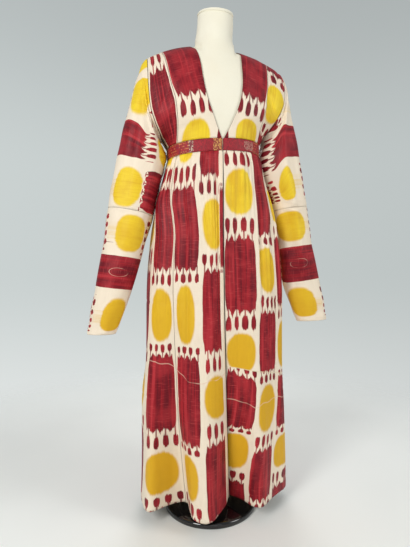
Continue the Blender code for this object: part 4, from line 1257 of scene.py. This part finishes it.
def ikat_material(name, settings):
    material, tree, shader = new_material(name)
    group = bpy.data.node_groups.get("ikat_cloth")
    if group is None:
        group = ikat_cloth_group(ikat_figure_group())
    height = tree.nodes.new("ShaderNodeSeparateXYZ")
    put(tree, height.inputs[0], tree.nodes.new("ShaderNodeTexCoord").outputs["Object"])
    cloth = placed(
        tree,
        group,
        Weave=uv(tree, "weave"),
        Ikat=uv(tree, "ikat"),
        Ikat_Below=uv(tree, "ikat_below"),
        Pieced=attribute(tree, "pieced"),
        Crease=attribute(tree, "crease"),
        Edge=attribute(tree, "edge"),
        Level=Field(tree, height.outputs[2]),
        Crimson=(*settings.crimson, 1),
        Yellow=(*settings.yellow, 1),
        Cream=(*settings.cream, 1),
    )
    tree.links.new(cloth.outputs["Color"], shader.inputs["Base Color"])
    tree.links.new(cloth.outputs["Roughness"], shader.inputs["Roughness"])
    shader.inputs["Specular IOR Level"].default_value = 0.22
    bump(tree, shader, cloth.outputs["Height"], 0.0004, 0.4)
    return material


def lining_material():
    """Plain ivory cotton inside the robe."""
    material, tree, shader = new_material("robe_lining")
    node = tree.nodes.new("ShaderNodeSeparateXYZ")
    put(tree, node.inputs[0], uv(tree, "weave"))
    x, y = (Field(tree, node.outputs[i]) for i in (0, 1))
    slubs = noise(tree, joined(tree, x * 500.0, y * 60.0, 0.0), detail=2.0)
    clouds = noise(tree, joined(tree, x * 9.0, y * 9.0, 0.0), detail=3.0)
    colour = blend(tree, slubs.rise(0.35, 0.7), (0.60, 0.50, 0.38), (0.74, 0.65, 0.52))
    colour = blend(tree, clouds.rise(0.45, 0.8) * 0.5, colour, (0.52, 0.40, 0.28))
    tree.links.new(colour, shader.inputs["Base Color"])
    put(tree, shader.inputs["Roughness"], slubs * 0.2 + 0.7)
    bump(tree, shader, slubs, 0.0004, 0.4)
    return material


def braid_material():
    """The stitched braid of the waistband: rows of coloured stitches in blocks along its length."""
    material, tree, shader = new_material("stitched_braid")
    node = tree.nodes.new("ShaderNodeSeparateXYZ")
    put(tree, node.inputs[0], uv(tree, "weave"))
    x, y = (Field(tree, node.outputs[i]) for i in (0, 1))
    row = (y * 9.0).maths("FLOOR")
    stitch = (x * 420.0 + chance(tree, joined(tree, row, 4.0, 0.0))).maths("FLOOR")
    luck = chance(tree, joined(tree, stitch, row, 0.0))
    in_row = abs((y * 9.0).maths("FRACT") - 0.5)
    groove = in_row.rise(0.34, 0.5)
    crimson = blend(tree, luck, (0.22, 0.005, 0.012), (0.46, 0.016, 0.030))
    bright = blend(tree, luck.rise(0.5, 0.9), (0.38, 0.014, 0.018), (0.62, 0.24, 0.07))
    bright = blend(tree, luck.under(0.16) * 0.6, bright, (0.12, 0.015, 0.07))
    every_other = (row / 2.0).maths("FRACT").over(0.25)
    rows = blend(tree, every_other * 0.8, crimson, bright)
    pale = blend(tree, luck.rise(0.5, 0.8), (0.22, 0.02, 0.03), (0.62, 0.46, 0.34))
    trim = blend(tree, luck.rise(0.45, 0.8), (0.30, 0.04, 0.03), (0.66, 0.36, 0.10))
    piece = attribute(tree, "section")
    colour = blend(tree, piece.over(0.5), crimson, rows)
    colour = blend(tree, piece.over(1.5), colour, pale)
    colour = blend(tree, piece.over(2.5), colour, trim)
    stripes = (x * 250.0).maths("FRACT").over(0.58) * abs(y - 0.5).under(0.36) * luck.over(0.25)
    striped = blend(tree, stripes * 0.8, crimson, (0.62, 0.48, 0.36))
    edging = abs(y - 0.5).over(0.44) * luck.over(0.3)
    colour = blend(tree, piece.over(3.5), colour, striped)
    colour = blend(tree, edging * piece.over(0.5) * piece.under(1.5) * 0.6, colour, (0.60, 0.40, 0.12))
    # Painted shade in the grooves between the rows of stitches.
    colour = blend(tree, groove * 0.5, colour, (0.05, 0.006, 0.010))
    tree.links.new(colour, shader.inputs["Base Color"])
    put(tree, shader.inputs["Roughness"], luck * 0.15 + 0.55)
    bump(tree, shader, groove * -1.0 + luck * 0.4, 0.0006, 0.7)
    return material


def form_material():
    """The dress form's smooth cream jersey."""
    material, tree, shader = new_material("form_jersey")
    place = tree.nodes.new("ShaderNodeTexCoord").outputs["Object"]
    knit = noise(tree, place, scale=700.0, detail=1.0)
    clouds = noise(tree, place, scale=7.0, detail=3.0)
    colour = blend(tree, clouds.rise(0.3, 0.75), (0.87, 0.84, 0.70), (0.84, 0.79, 0.63))
    colour = blend(tree, knit.rise(0.45, 0.8) * 0.15, colour, (0.70, 0.63, 0.45))
    tree.links.new(colour, shader.inputs["Base Color"])
    put(tree, shader.inputs["Roughness"], knit * 0.15 + 0.62)
    shader.inputs["Specular IOR Level"].default_value = 0.25
    bump(tree, shader, knit, 0.0003, 0.3)
    return material


def gloss_material():
    """Black enamel with a little dust."""
    material, tree, shader = new_material("black_enamel")
    place = tree.nodes.new("ShaderNodeTexCoord").outputs["Object"]
    dust = noise(tree, place, scale=60.0, detail=4.0, roughness=0.65)
    smears = noise(tree, place, scale=9.0, detail=2.0)
    colour = blend(tree, dust.rise(0.58, 0.85) * 0.25, (0.004, 0.004, 0.0045), (0.06, 0.058, 0.055))
    tree.links.new(colour, shader.inputs["Base Color"])
    put(tree, shader.inputs["Roughness"], smears * 0.12 + dust.rise(0.5, 0.85) * 0.10 + 0.02)
    shader.inputs["Coat Weight"].default_value = 0.5
    shader.inputs["Coat Roughness"].default_value = 0.05
    bump(tree, shader, smears, 0.0008, 0.10)
    return material


def floor_material():
    """Pale paint that fades away towards the floor's rim."""
    material, tree, shader = new_material("floor_paint")
    place = tree.nodes.new("ShaderNodeTexCoord").outputs["Object"]
    clouds = noise(tree, place, scale=1.3, detail=2.0)
    node = tree.nodes.new("ShaderNodeSeparateXYZ")
    put(tree, node.inputs[0], place)
    x, y = (Field(tree, node.outputs[i]) for i in (0, 1))
    colour = blend(tree, clouds.rise(0.35, 0.7), (0.93, 0.95, 0.92), (0.88, 0.90, 0.87))
    tree.links.new(colour, shader.inputs["Base Color"])
    put(tree, shader.inputs["Alpha"], (x * x + y * y).rise(FLOOR_FADE[0] ** 2, FLOOR_FADE[1] ** 2, 1.0, 0.0))
    shader.inputs["Roughness"].default_value = 0.8
    shader.inputs["Specular IOR Level"].default_value = 0.1
    return material


def soft_room():
    """A pale room: dim as light; as the camera sees it, painted light makes it lighter near the floor than overhead
    and lighter towards -X.
    """
    world = bpy.data.worlds.new("soft_room")
    world.use_nodes = True
    tree = world.node_tree
    node = tree.nodes.new("ShaderNodeSeparateXYZ")
    put(tree, node.inputs[0], tree.nodes.new("ShaderNodeTexCoord").outputs["Generated"])
    aside, up = (Field(tree, node.outputs[i]) for i in (0, 2))
    # As seen by the camera only: painted light, lighter near the floor, darker overhead and lighter towards -X.
    seen = blend(tree, up.rise(-0.32, 0.02), (0.70, 0.73, 0.72), (0.56, 0.605, 0.60))
    seen = blend(tree, up.rise(0.22, 0.62), seen, (0.43, 0.465, 0.465))
    seen = blend(tree, 1.0, seen, aside.rise(-0.5, 1.0, 1.07, 0.90), "MULTIPLY")
    camera_ray = tree.nodes.new("ShaderNodeLightPath").outputs["Is Camera Ray"]
    put(tree, tree.nodes["Background"].inputs["Color"], blend(tree, camera_ray, ROOM_LIGHT, seen))
    return world


# ---------------------------------------------------------------- making pieces

def in_scene(name, mesh, *materials):
    made = bpy.data.objects.new(name, mesh)
    for material in materials:
        mesh.materials.append(material)
    bpy.context.scene.collection.objects.link(made)
    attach(made, "root")
    return made


def spread(mesh, flat, lay):
    """Writes a sheet's cloth coordinates on its corners, so that figures may break between two faces."""
    corners = np.empty(len(mesh.loops), int)
    mesh.loops.foreach_get("vertex_index", corners)
    at = flat[corners]
    middle = at.reshape(-1, 4, 2).mean(axis=1).repeat(4, axis=0)
    for label, values in lay(at[:, 0], at[:, 1], middle[:, 0], middle[:, 1]).items():
        if isinstance(values, tuple):
            layer = mesh.uv_layers.new(name=label, do_init=False)
            layer.uv.foreach_set("vector", np.stack(values, axis=1).astype(np.float32).ravel())
        else:
            layer = mesh.attributes.new(label, "FLOAT", "CORNER")
            layer.data.foreach_set("value", np.asarray(values, np.float32))


def sheet(name, place, lay, across, along, middle, materials, relief=None, wall=WALL, closed=False):
    """A cloth piece: a fine grid placed by its function and turned outwards, with its wall inside it."""
    grid = bmesh.new()
    bmesh.ops.create_grid(grid, x_segments=across, y_segments=along, size=0.5)
    flat = np.array([vert.co[:2] for vert in grid.verts]) + 0.5
    points = place(flat[:, 0], flat[:, 1])
    for vert, point in zip(grid.verts, points):
        vert.co = point
    grid.normal_update()
    outward = sum(face.normal.dot(face.calc_center_median() - middle(face)) * face.calc_area() for face in grid.faces)
    if outward < 0:
        bmesh.ops.reverse_faces(grid, faces=grid.faces)
        grid.normal_update()
    if relief:
        for vert, height in zip(grid.verts, relief(flat[:, 0], flat[:, 1])):
            vert.co += vert.normal * float(height)
    mesh = bpy.data.meshes.new(name)
    grid.to_mesh(mesh)
    grid.free()
    spread(mesh, flat, lay)
    if closed:
        joined_up = bmesh.new()
        joined_up.from_mesh(mesh)
        bmesh.ops.remove_doubles(joined_up, verts=joined_up.verts, dist=1e-6)
        joined_up.to_mesh(mesh)
        joined_up.free()
    mesh.shade_smooth()
    made = in_scene(name, mesh, *materials)
    thicken = made.modifiers.new("wall", "SOLIDIFY")
    thicken.thickness = wall
    thicken.offset = -1
    thicken.material_offset = len(materials) - 1
    return made


def body_axis(face):
    """The point of the body's axis level with a face."""
    centre = face.calc_center_median()
    return Vector((0, SIDE_Y, min(centre.z, 1.25)))


def sleeve_axis(side):
    """The point of a sleeve's axis level with a face."""
    rows = SLEEVE_LEFT if side > 0 else SLEEVE_RIGHT
    z = 0.5 * (rows["outer_z"] + rows["inner_z"])
    x = 0.5 * (rows["outer_x"] + rows["inner_x"])

    def middle(face):
        centre = face.calc_center_median()
        return Vector((side * float(np.interp(centre.z, z[::-1], x[::-1])), SIDE_Y, centre.z))

    return middle


def shared(name, make, *values):
    """A material made once."""
    return bpy.data.materials.get(name) or make(*values)


def cloth_materials():
    settings = bpy.context.scene.ikat_robe
    return (
        bpy.data.materials.get("ikat_cloth_face") or ikat_material("ikat_cloth_face", settings),
        shared("robe_lining", lining_material),
    )


# Soft folds that run down the skirt from its gathers: column, height of the ridge (a trough is
# negative), half width in columns, and the levels where it begins and fades out.
PLEATS = table(
    "column height width top bottom",
    (0.27, -0.0016, 0.05, 1.05, 0.70),
    (0.60, 0.0018, 0.06, 1.05, 0.78),
    (1.10, 0.0030, 0.07, 1.05, 0.62),
    (1.24, -0.0026, 0.05, 1.05, 0.66),
    (1.42, 0.0028, 0.07, 1.05, 0.70),
    (1.85, -0.0024, 0.06, 1.05, 0.80),
    (2.45, 0.0026, 0.07, 1.05, 0.66),
    (3.40, -0.0026, 0.07, 1.05, 0.70),
    (3.95, 0.0028, 0.08, 1.05, 0.60),
    (4.80, -0.0022, 0.06, 1.05, 0.74),
    (5.60, 0.0028, 0.07, 1.05, 0.64),
    (6.25, -0.0024, 0.06, 1.05, 0.70),
    (6.90, 0.0026, 0.07, 1.05, 0.76),
    (7.60, -0.0028, 0.06, 1.05, 0.62),
    (8.35, 0.0024, 0.07, 1.05, 0.72),
    (8.95, -0.0022, 0.06, 1.05, 0.66),
    (9.45, 0.0024, 0.06, 1.05, 0.74),
    (9.80, -0.0020, 0.05, 1.05, 0.70),
    (10.38, -0.0034, 0.08, 0.99, 0.50),
    (10.58, 0.0026, 0.08, 0.97, 0.52),
    (10.86, -0.0018, 0.05, 1.05, 0.76),
    (11.30, 0.0022, 0.06, 1.05, 0.84),
    (11.52, -0.0028, 0.05, 1.05, 0.85),
    (11.72, 0.0026, 0.06, 1.05, 0.82),
    (11.95, -0.0020, 0.05, 1.05, 0.88),
)
# Folds that run down a sleeve: turn near the shoulder and at the elbow, ridge height, half
# width in turns, and the rings where it begins and fades out.
SLEEVE_FOLDS = {
    -1: table(
        "upper lower height width first last",
        (0.36, 0.34, -0.0036, 0.026, 0.6, 4.9),
        (0.30, 0.28, 0.0028, 0.030, 1.0, 6.0),
        (0.24, 0.20, -0.0026, 0.030, 2.0, 6.6),
        (0.29, 0.29, -0.0026, 0.028, 5.2, 7.6),
        (0.66, 0.62, -0.0036, 0.040, 0.6, 5.4),
        (0.80, 0.74, 0.0030, 0.045, 1.4, 8.0),
    ),
    1: table(
        "upper lower height width first last",
        (0.27, 0.22, 0.0050, 0.030, 0.5, 8.2),
        (0.20, 0.155, -0.0040, 0.034, 1.0, 7.6),
        (0.36, 0.31, -0.0018, 0.030, 1.5, 5.2),
        (0.68, 0.62, -0.0036, 0.040, 0.6, 5.8),
        (0.80, 0.75, 0.0028, 0.045, 1.4, 8.0),
    ),
}
# The cloth sinks just below the armhole seam: depth, ring, half width in rings, turns it spans.
ARMHOLE_TUCK = {"depth": 0.0075, "ring": 0.50, "width": 0.28, "turns": (0.02, 0.10, 0.26, 0.36)}


def pleats(column, height):
    total = 0 * column
    for i in range(len(PLEATS["column"])):
        away = abs(column - PLEATS["column"][i])
        away = np.minimum(away, COLUMNS_ROUND - away)
        reach = ease(PLEATS["bottom"][i] - 0.12, PLEATS["bottom"][i] + 0.10, height)
        reach *= 1 - 0.6 * ease(PLEATS["top"][i] - 0.03, PLEATS["top"][i], height)
        total = total + PLEATS["height"][i] * reach * np.exp(-((away / PLEATS["width"][i]) ** 2))
    return total


def sleeve_folds(side, turn, ring):
    rows = SLEEVE_FOLDS[side]
    total = 0 * turn
    for i in range(len(rows["upper"])):
        middle = rows["upper"][i] + (rows["lower"][i] - rows["upper"][i]) * ease(0.5, 5.0, ring)
        starts, ends = rows["first"][i], rows["last"][i]
        reach = ease(starts, starts + 1.2, ring) * (1 - ease(ends - 1.4, ends, ring))
        total = total + rows["height"][i] * reach * hump(turn, middle, rows["width"][i])
    begin, full, still, end = ARMHOLE_TUCK["turns"]
    spread_out = ease(begin, full, turn) * (1 - ease(still, end, turn))
    return total - ARMHOLE_TUCK["depth"] * spread_out * hump(ring, ARMHOLE_TUCK["ring"], ARMHOLE_TUCK["width"])


def seam_fade(across, reach=0.05):
    """0 at both side edges of a piece and 1 away from them."""
    return ease(0, reach, across) * ease(0, reach, 1 - across)


# ---------------------------------------------------------------- settings

class IkatRobeSettings(bpy.types.PropertyGroup):
    """Colours and fineness of the robe."""

    crimson: bpy.props.FloatVectorProperty(
        name="Crimson", description="Colour of the ikat's blocks", subtype="COLOR", size=3, min=0, max=1,
        default=(0.310, 0.0085, 0.0160),
    )
    yellow: bpy.props.FloatVectorProperty(
        name="Yellow", description="Colour of the ikat's discs", subtype="COLOR", size=3, min=0, max=1,
        default=(0.87, 0.645, 0.030),
    )
    cream: bpy.props.FloatVectorProperty(
        name="Cream", description="Colour of the undyed ground", subtype="COLOR", size=3, min=0, max=1,
        default=(0.87, 0.755, 0.60),
    )
    per_column: bpy.props.IntProperty(
        name="Faces per column", description="Faces across one ikat column of the skirt", default=30, min=8, max=60,
    )
    skirt_rows: bpy.props.IntProperty(
        name="Skirt rows", description="Rows of faces down the skirt", default=150, min=20, max=300,
    )
    wrinkles: bpy.props.FloatProperty(
        name="Wrinkles", description="Height of the small wrinkles in the cloth", default=0.0015, min=0, max=0.003,
        subtype="DISTANCE", unit="LENGTH",
    )


# ---------------------------------------------------------------- operators

# Creases pressed level round the skirt: how deep against the wrinkles, and how high.
LEVEL_CREASES = ((-0.6, 0.63), (-0.5, 0.36))
LEVEL_CREASE_WIDTH = 0.004


class DressSkirt(bpy.types.Operator):
    """Makes the five gathered panels of the skirt"""

    bl_idname = "ikat_robe.skirt"
    bl_label = "Skirt Panels"

    def execute(self, context):
        settings = context.scene.ikat_robe
        for seed, name in enumerate(SKIRT_PANELS["piece"]):
            name = str(name)
            first, last = float(SKIRT_PANELS["first"][seed]), float(SKIRT_PANELS["last"][seed])

            def relief(across, along, first=first, last=last):
                column = first + (last - first) * across
                height = HEM_Z + (BAND_BOTTOM_Z - HEM_Z) * along
                fine = uneven(column * 24, height * 6, 11) * (0.25 + 0.9 * ease(0.75, 1.0, height))
                broad = uneven(column * 5, height * 11, 12) * 0.9
                pressed = sum(depth * hump(height, level, LEVEL_CREASE_WIDTH) for depth, level in LEVEL_CREASES)
                fade = ease(0, 0.02, 1 - along) * seam_fade(across, 0.03)
                wrinkled = settings.wrinkles * (0.8 * fine + 1.4 * broad + 1.4 * pressed)
                return (wrinkled + pleats(column, height)) * fade

            made = sheet(
                name + "_cloth",
                skirt_panel(first, last),
                skirt_lay(name, first, last, 10.0 * seed),
                round((last - first) * settings.per_column),
                settings.skirt_rows,
                body_axis,
                cloth_materials(),
                relief,
            )
            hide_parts(name)
        return {"FINISHED"}


class DressBodice(bpy.types.Operator):
    """Makes the body and side panels, each in one length from the front band to the back band"""

    bl_idname = "ikat_robe.bodice"
    bl_label = "Bodice Panels"

    def execute(self, context):
        settings = context.scene.ikat_robe
        for side, word in ((-1, "right"), (1, "left")):
            edge = "edge_left" if side > 0 else "edge_right"
            edges = {
                "body_panel_": (
                    lambda row, back, side=side: neck_half_width(row, side, back) - SEAM_GAP / 2,
                    lambda row, back, side=side: seam_half_width(row, side),
                ),
                "side_panel_": (
                    lambda row, back, side=side: seam_half_width(row, side),
                    lambda row, back, edge=edge: bodice_row(edge, row),
                ),
            }
            for seed, (kind, (inner, outer)) in enumerate(edges.items()):

                def relief(across, along, side=side, seed=seed):
                    folds = uneven(across * 5 + 9 * seed, along * 22 + side, 21)
                    fine = uneven(across * 14, along * 50, 22)
                    height = settings.wrinkles * (0.8 * folds + 0.45 * fine) * (1 - hump(along, 0.5, 0.05))
                    return height * seam_fade(across, 0.12) * seam_fade(along, 0.03)

                name = kind + word
                made = sheet(
                    name + "_cloth",
                    bodice_piece(side, inner, outer),
                    bodice_lay(name, side, 60.0 - 10 * seed + side),
                    40 if seed == 0 else 28,
                    180,
                    body_axis,
                    cloth_materials(),
                    relief,
                )
                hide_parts(name)
        return {"FINISHED"}


class DressSleeves(bpy.types.Operator):
    """Makes the upper and lower length of each sleeve"""

    bl_idname = "ikat_robe.sleeves"
    bl_label = "Sleeves"

    def execute(self, context):
        settings = context.scene.ikat_robe
        for side, word in ((-1, "right"), (1, "left")):
            seam = SLEEVE_SEAM_RING[side]
            half_gap = 0.5 * SEAM_GAP / 0.09
            last = float(len(SLEEVE_RIGHT["depth"]))
            pieces = (("sleeve_upper_", 0.0, seam - half_gap, 96), ("sleeve_lower_", seam + half_gap, last, 84))
            for seed, (kind, first, end, rows) in enumerate(pieces):

                def relief(across, along, first=first, end=end, side=side):
                    ring = first + (end - first) * along
                    lengthways = uneven(across * 26, ring * 0.9 + side, 31)
                    crossways = uneven(across * 9, ring * 5, 32)
                    height = settings.wrinkles * (1.1 * lengthways + 0.7 * crossways)
                    height = height + sleeve_folds(side, across, ring)
                    return height * seam_fade(across, 0.06) * ease(0.05, 0.9, ring) * seam_fade(along, 0.03)

                name = kind + word
                made = sheet(
                    name + "_cloth",
                    sleeve_piece(side, first, end),
                    sleeve_lay(side, first, end, 100.0 + 20 * side),
                    112,
                    rows,
                    sleeve_axis(side),
                    cloth_materials(),
                    relief,
                    closed=True,
                )
                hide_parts(name)
                rests_on = "side_panel_" if seed == 0 else "sleeve_upper_"
                rests_on + word
        return {"FINISHED"}


# Sections of the waistband, from the open front: where each ends in metres, and its kind.
BAND_SECTIONS = {
    "waistband_right": ((0.023, 3), (0.076, 0), (0.090, 2), (0.5, 1)),
    "waistband_left": ((0.062, 0), (0.096, 4), (0.5, 1)),
}


class DressBand(bpy.types.Operator):
    """Makes the stitched waistband in two halves"""

    bl_idname = "ikat_robe.band"
    bl_label = "Waistband"

    def execute(self, context):
        proud = (BAND_WALL - WALL) / 2
        for name, first, last in (("waistband_left", 0.0, 0.5), ("waistband_right", 0.5, 1.0)):
            sections = BAND_SECTIONS[name]

            def along_band(across, first=first):
                return 0.40 * (across if first == 0 else 1 - across)

            def place(across, along, first=first, last=last):
                height = BAND_BOTTOM_Z + SEAM_GAP + (BAND_TOP_Z - BAND_BOTTOM_Z - 2 * SEAM_GAP) * along
                rings = {
                    "height": np.array([BAND_BOTTOM_Z, BAND_TOP_Z]),
                    "right": np.array([0.1385, 0.1400]) + proud,
                    "left": np.array([0.1405, 0.1415]) + proud,
                    "front": np.array([-0.1405, -0.1410]) - proud,
                    "back": np.array([0.0700, 0.0690]) + proud,
                }
                gaps = (FRONT_EDGE_GAP if first == 0 else SEAM_GAP, FRONT_EDGE_GAP if last == 1 else SEAM_GAP)
                round_the_band = 2 * np.pi * 0.125
                low = first + gaps[0] / 2 / round_the_band
                high = last - gaps[1] / 2 / round_the_band
                return tilt(ring_point(low + (high - low) * across, height, rings))

            def lay(across, along, middle_across, middle_along, sections=sections, along_band=along_band):
                kinds = np.array([kind for _, kind in sections], float)
                ends = np.array([end for end, _ in sections])
                number = np.clip(np.searchsorted(ends, along_band(middle_across)), 0, len(ends) - 1)
                return {"weave": (along_band(across), along), "section": kinds[number]}

            def relief(across, along, along_band=along_band):
                rounded = -0.0010 * abs(2 * along - 1) ** 6
                return rounded + 0.0003 * uneven(along_band(across) * 160, along * 3, 41)

            made = sheet(
                name + "_braid",
                place,
                lay,
                240,
                24,
                body_axis,
                (shared("stitched_braid", braid_material),),
                relief,
                BAND_WALL,
            )
            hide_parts(name)
        return {"FINISHED"}


# How far the form's shoulders stay under the robe's, and the groove below the neck cap.
FORM_UNDER_CLOTH = 0.0022
CAP_RIM = {"below": 0.0090, "width": 0.0012, "depth": 0.0020, "lip": 0.0010}


class DressForm(bpy.types.Operator):
    """Makes the torso and neck of the dress form, with the rim of its neck cap"""

    bl_idname = "ikat_robe.form"
    bl_label = "Dress Form"

    def execute(self, context):
        skin = bmesh.new()
        bmesh.ops.create_uvsphere(skin, u_segments=120, v_segments=216, radius=1)
        ball = np.array([vert.co for vert in skin.verts])
        rows = np.arccos(np.clip(ball[:, 2], -1, 1)) / np.pi
        rows = np.interp(rows, (0, 0.16, 0.36, 1), (0, 2.6 / 24, 4.4 / 24, 1))
        turns = np.arctan2(ball[:, 0], -ball[:, 1]) / (2 * np.pi) % 1.0
        points = form_point(turns, rows)
        top = points[rows < 1e-4].mean(axis=0)
        below = top[2] + CAP_SLOPE["y"] * (points[:, 1] - top[1]) - points[:, 2]
        groove = CAP_RIM["depth"] * hump(below, CAP_RIM["below"], CAP_RIM["width"])
        groove = (groove - CAP_RIM["lip"] * (1 - ease(0.0070, 0.0085, below))) * (rows > 2.2 / 24)
        inward = points[:, :2] - top[:2]
        inward /= np.maximum(np.linalg.norm(inward, axis=1, keepdims=True), 1e-6)
        points[:, :2] -= groove[:, None] * inward
        shoulder = ease(0.06, 0.085, abs(points[:, 0])) * ease(1.22, 1.32, points[:, 2])
        points[:, 2] -= FORM_UNDER_CLOTH * shoulder
        for vert, point in zip(skin.verts, under_cloth(points)):
            vert.co = point
        bmesh.ops.recalc_face_normals(skin, faces=skin.faces)
        mesh = bpy.data.meshes.new("form_torso_jersey")
        skin.to_mesh(mesh)
        skin.free()
        mesh.shade_smooth()
        made = in_scene("form_torso_jersey", mesh, shared("form_jersey", form_material))
        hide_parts("form_torso")
        return {"FINISHED"}


def turned(name, profile, steps=128):
    """A closed body of revolution about Z from (radius, height) pairs."""
    body = bmesh.new()
    corners = [body.verts.new((radius, 0, height)) for radius, height in profile]
    edges = [body.edges.new(pair) for pair in zip(corners, corners[1:])]
    bmesh.ops.spin(
        body, geom=corners + edges, cent=(0, 0, 0), axis=(0, 0, 1), angle=2 * math.pi, steps=steps, use_merge=True,
    )
    bmesh.ops.remove_doubles(body, verts=body.verts, dist=1e-6)
    bmesh.ops.recalc_face_normals(body, faces=body.faces)
    mesh = bpy.data.meshes.new(name)
    body.to_mesh(mesh)
    body.free()
    mesh.shade_smooth()
    mesh.set_sharp_from_angle(angle=math.radians(50))
    return mesh


class DressStand(bpy.types.Operator):
    """Makes the enamelled pole and round base"""

    bl_idname = "ikat_robe.stand"
    bl_label = "Pole and Base"

    def execute(self, context):
        enamel = shared("black_enamel", gloss_material)
        knots = np.array(BASE_PROFILE[1:8])
        fine = np.linspace(0, 1, 40)
        steps = np.concatenate([[0], np.cumsum(np.linalg.norm(np.diff(knots, axis=0), axis=1))])
        dome = through(steps / steps[-1], knots, fine)
        rim = [(BASE_RADIUS, 0.0030), (0.1392, 0.0010), (0.1380, 0.0), (0.0, 0.0)]
        profile = [BASE_PROFILE[0], *map(tuple, dome), *rim]
        base = in_scene("form_base_enamel", turned("form_base_enamel", profile, 160), enamel)
        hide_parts("form_base")
        foot, top = BASE_PROFILE[0][1] + SEAM_GAP, TORSO_BOTTOM_Z - SEAM_GAP
        profile = [(0.0, top), (POLE_RADIUS - 0.0008, top), (POLE_RADIUS, top - 0.0008)]
        profile += [(POLE_RADIUS, foot + 0.0008), (POLE_RADIUS - 0.0008, foot), (0.0, foot)]
        pole = in_scene("form_pole_enamel", turned("form_pole_enamel", profile, 48), enamel)
        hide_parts("form_pole")
        return {"FINISHED"}


# The floor's radius where it starts to fade and where it ends, and the room's own light.
FLOOR_FADE = (0.4, 1.9)
ROOM_LIGHT = (0.342, 0.353, 0.360)
CAMERA = {"turn": -14.0, "distance": 1.25, "aside": -0.0156, "height": 0.7116, "lens": 26.33}


def area_light(name, place, target, size, power, colour=(1, 1, 1)):
    light = bpy.data.lights.new(name, "AREA")
    light.shape = "RECTANGLE"
    light.size, light.size_y = size
    light.energy = power
    light.color = colour
    lamp = bpy.data.objects.new(name, light)
    lamp.visible_camera = False
    lamp.location = place
    lamp.rotation_euler = (Vector(target) - Vector(place)).to_track_quat("-Z", "Y").to_euler()
    bpy.context.scene.collection.objects.link(lamp)


class DressStage(bpy.types.Operator):
    """Makes the floor, the room, the soft lights and the camera"""

    bl_idname = "ikat_robe.stage"
    bl_label = "Stage"

    def execute(self, context):
        scene = context.scene
        disc = bmesh.new()
        bmesh.ops.create_circle(disc, cap_ends=True, segments=96, radius=FLOOR_FADE[1])
        mesh = bpy.data.meshes.new("floor")
        disc.to_mesh(mesh)
        disc.free()
        floor = bpy.data.objects.new("floor", mesh)
        mesh.materials.append(floor_material())
        scene.collection.objects.link(floor)
        scene.world = soft_room()
        scene.view_settings.view_transform = "Standard"
        area_light("left", (-1.7, -1.6, 1.7), (0, 0, 0.95), (0.7, 1.0), 36, (1.0, 0.985, 0.96))
        area_light("right", (1.8, -1.5, 1.6), (0, 0, 0.9), (0.8, 1.2), 20, (1.0, 0.99, 0.97))
        area_light("front", (0.0, -2.6, 1.3), (0, 0, 0.9), (1.2, 1.2), 4)
        area_light("back", (0.6, 2.4, 1.8), (0, 0, 0.9), (1.4, 1.4), 26)

        turn = math.radians(CAMERA["turn"])
        ahead = Vector((-math.sin(turn), math.cos(turn), 0))
        aside = Vector((math.cos(turn), math.sin(turn), 0))
        camera = bpy.data.objects.new("camera", bpy.data.cameras.new("camera"))
        camera.location = -CAMERA["distance"] * ahead + CAMERA["aside"] * aside + Vector((0, 0, CAMERA["height"]))
        camera.rotation_euler = (math.radians(90), 0, turn)
        camera.data.sensor_width = 36
        camera.data.lens = CAMERA["lens"]
        camera.data.clip_start = 0.05
        scene.collection.objects.link(camera)
        scene.camera = camera
        return {"FINISHED"}


class IkatRobePanel(bpy.types.Panel):
    """The robe's settings and steps"""

    bl_idname = "VIEW3D_PT_ikat_robe"
    bl_label = "Ikat Robe"
    bl_space_type = "VIEW_3D"
    bl_region_type = "UI"
    bl_category = "Ikat Robe"

    def draw(self, context):
        settings = context.scene.ikat_robe
        for name in ("crimson", "yellow", "cream", "per_column", "skirt_rows", "wrinkles"):
            self.layout.prop(settings, name)
        for operator in OPERATORS:
            self.layout.operator(operator.bl_idname)


OPERATORS = (DressStage, DressSkirt, DressBand, DressBodice, DressSleeves, DressForm, DressStand)
CLASSES = (IkatRobeSettings, *OPERATORS, IkatRobePanel)


def register():
    for made in CLASSES:
        bpy.utils.register_class(made)
    bpy.types.Scene.ikat_robe = bpy.props.PointerProperty(type=IkatRobeSettings)


def unregister():
    del bpy.types.Scene.ikat_robe
    for made in reversed(CLASSES):
        bpy.utils.unregister_class(made)


def main():
    register()
    bpy.ops.ikat_robe.stage()
    bpy.ops.ikat_robe.skirt()
    bpy.ops.ikat_robe.band()
    bpy.ops.ikat_robe.bodice()
    bpy.ops.ikat_robe.sleeves()
    bpy.ops.ikat_robe.form()
    bpy.ops.ikat_robe.stand()


if __name__ == "__main__":
    main()
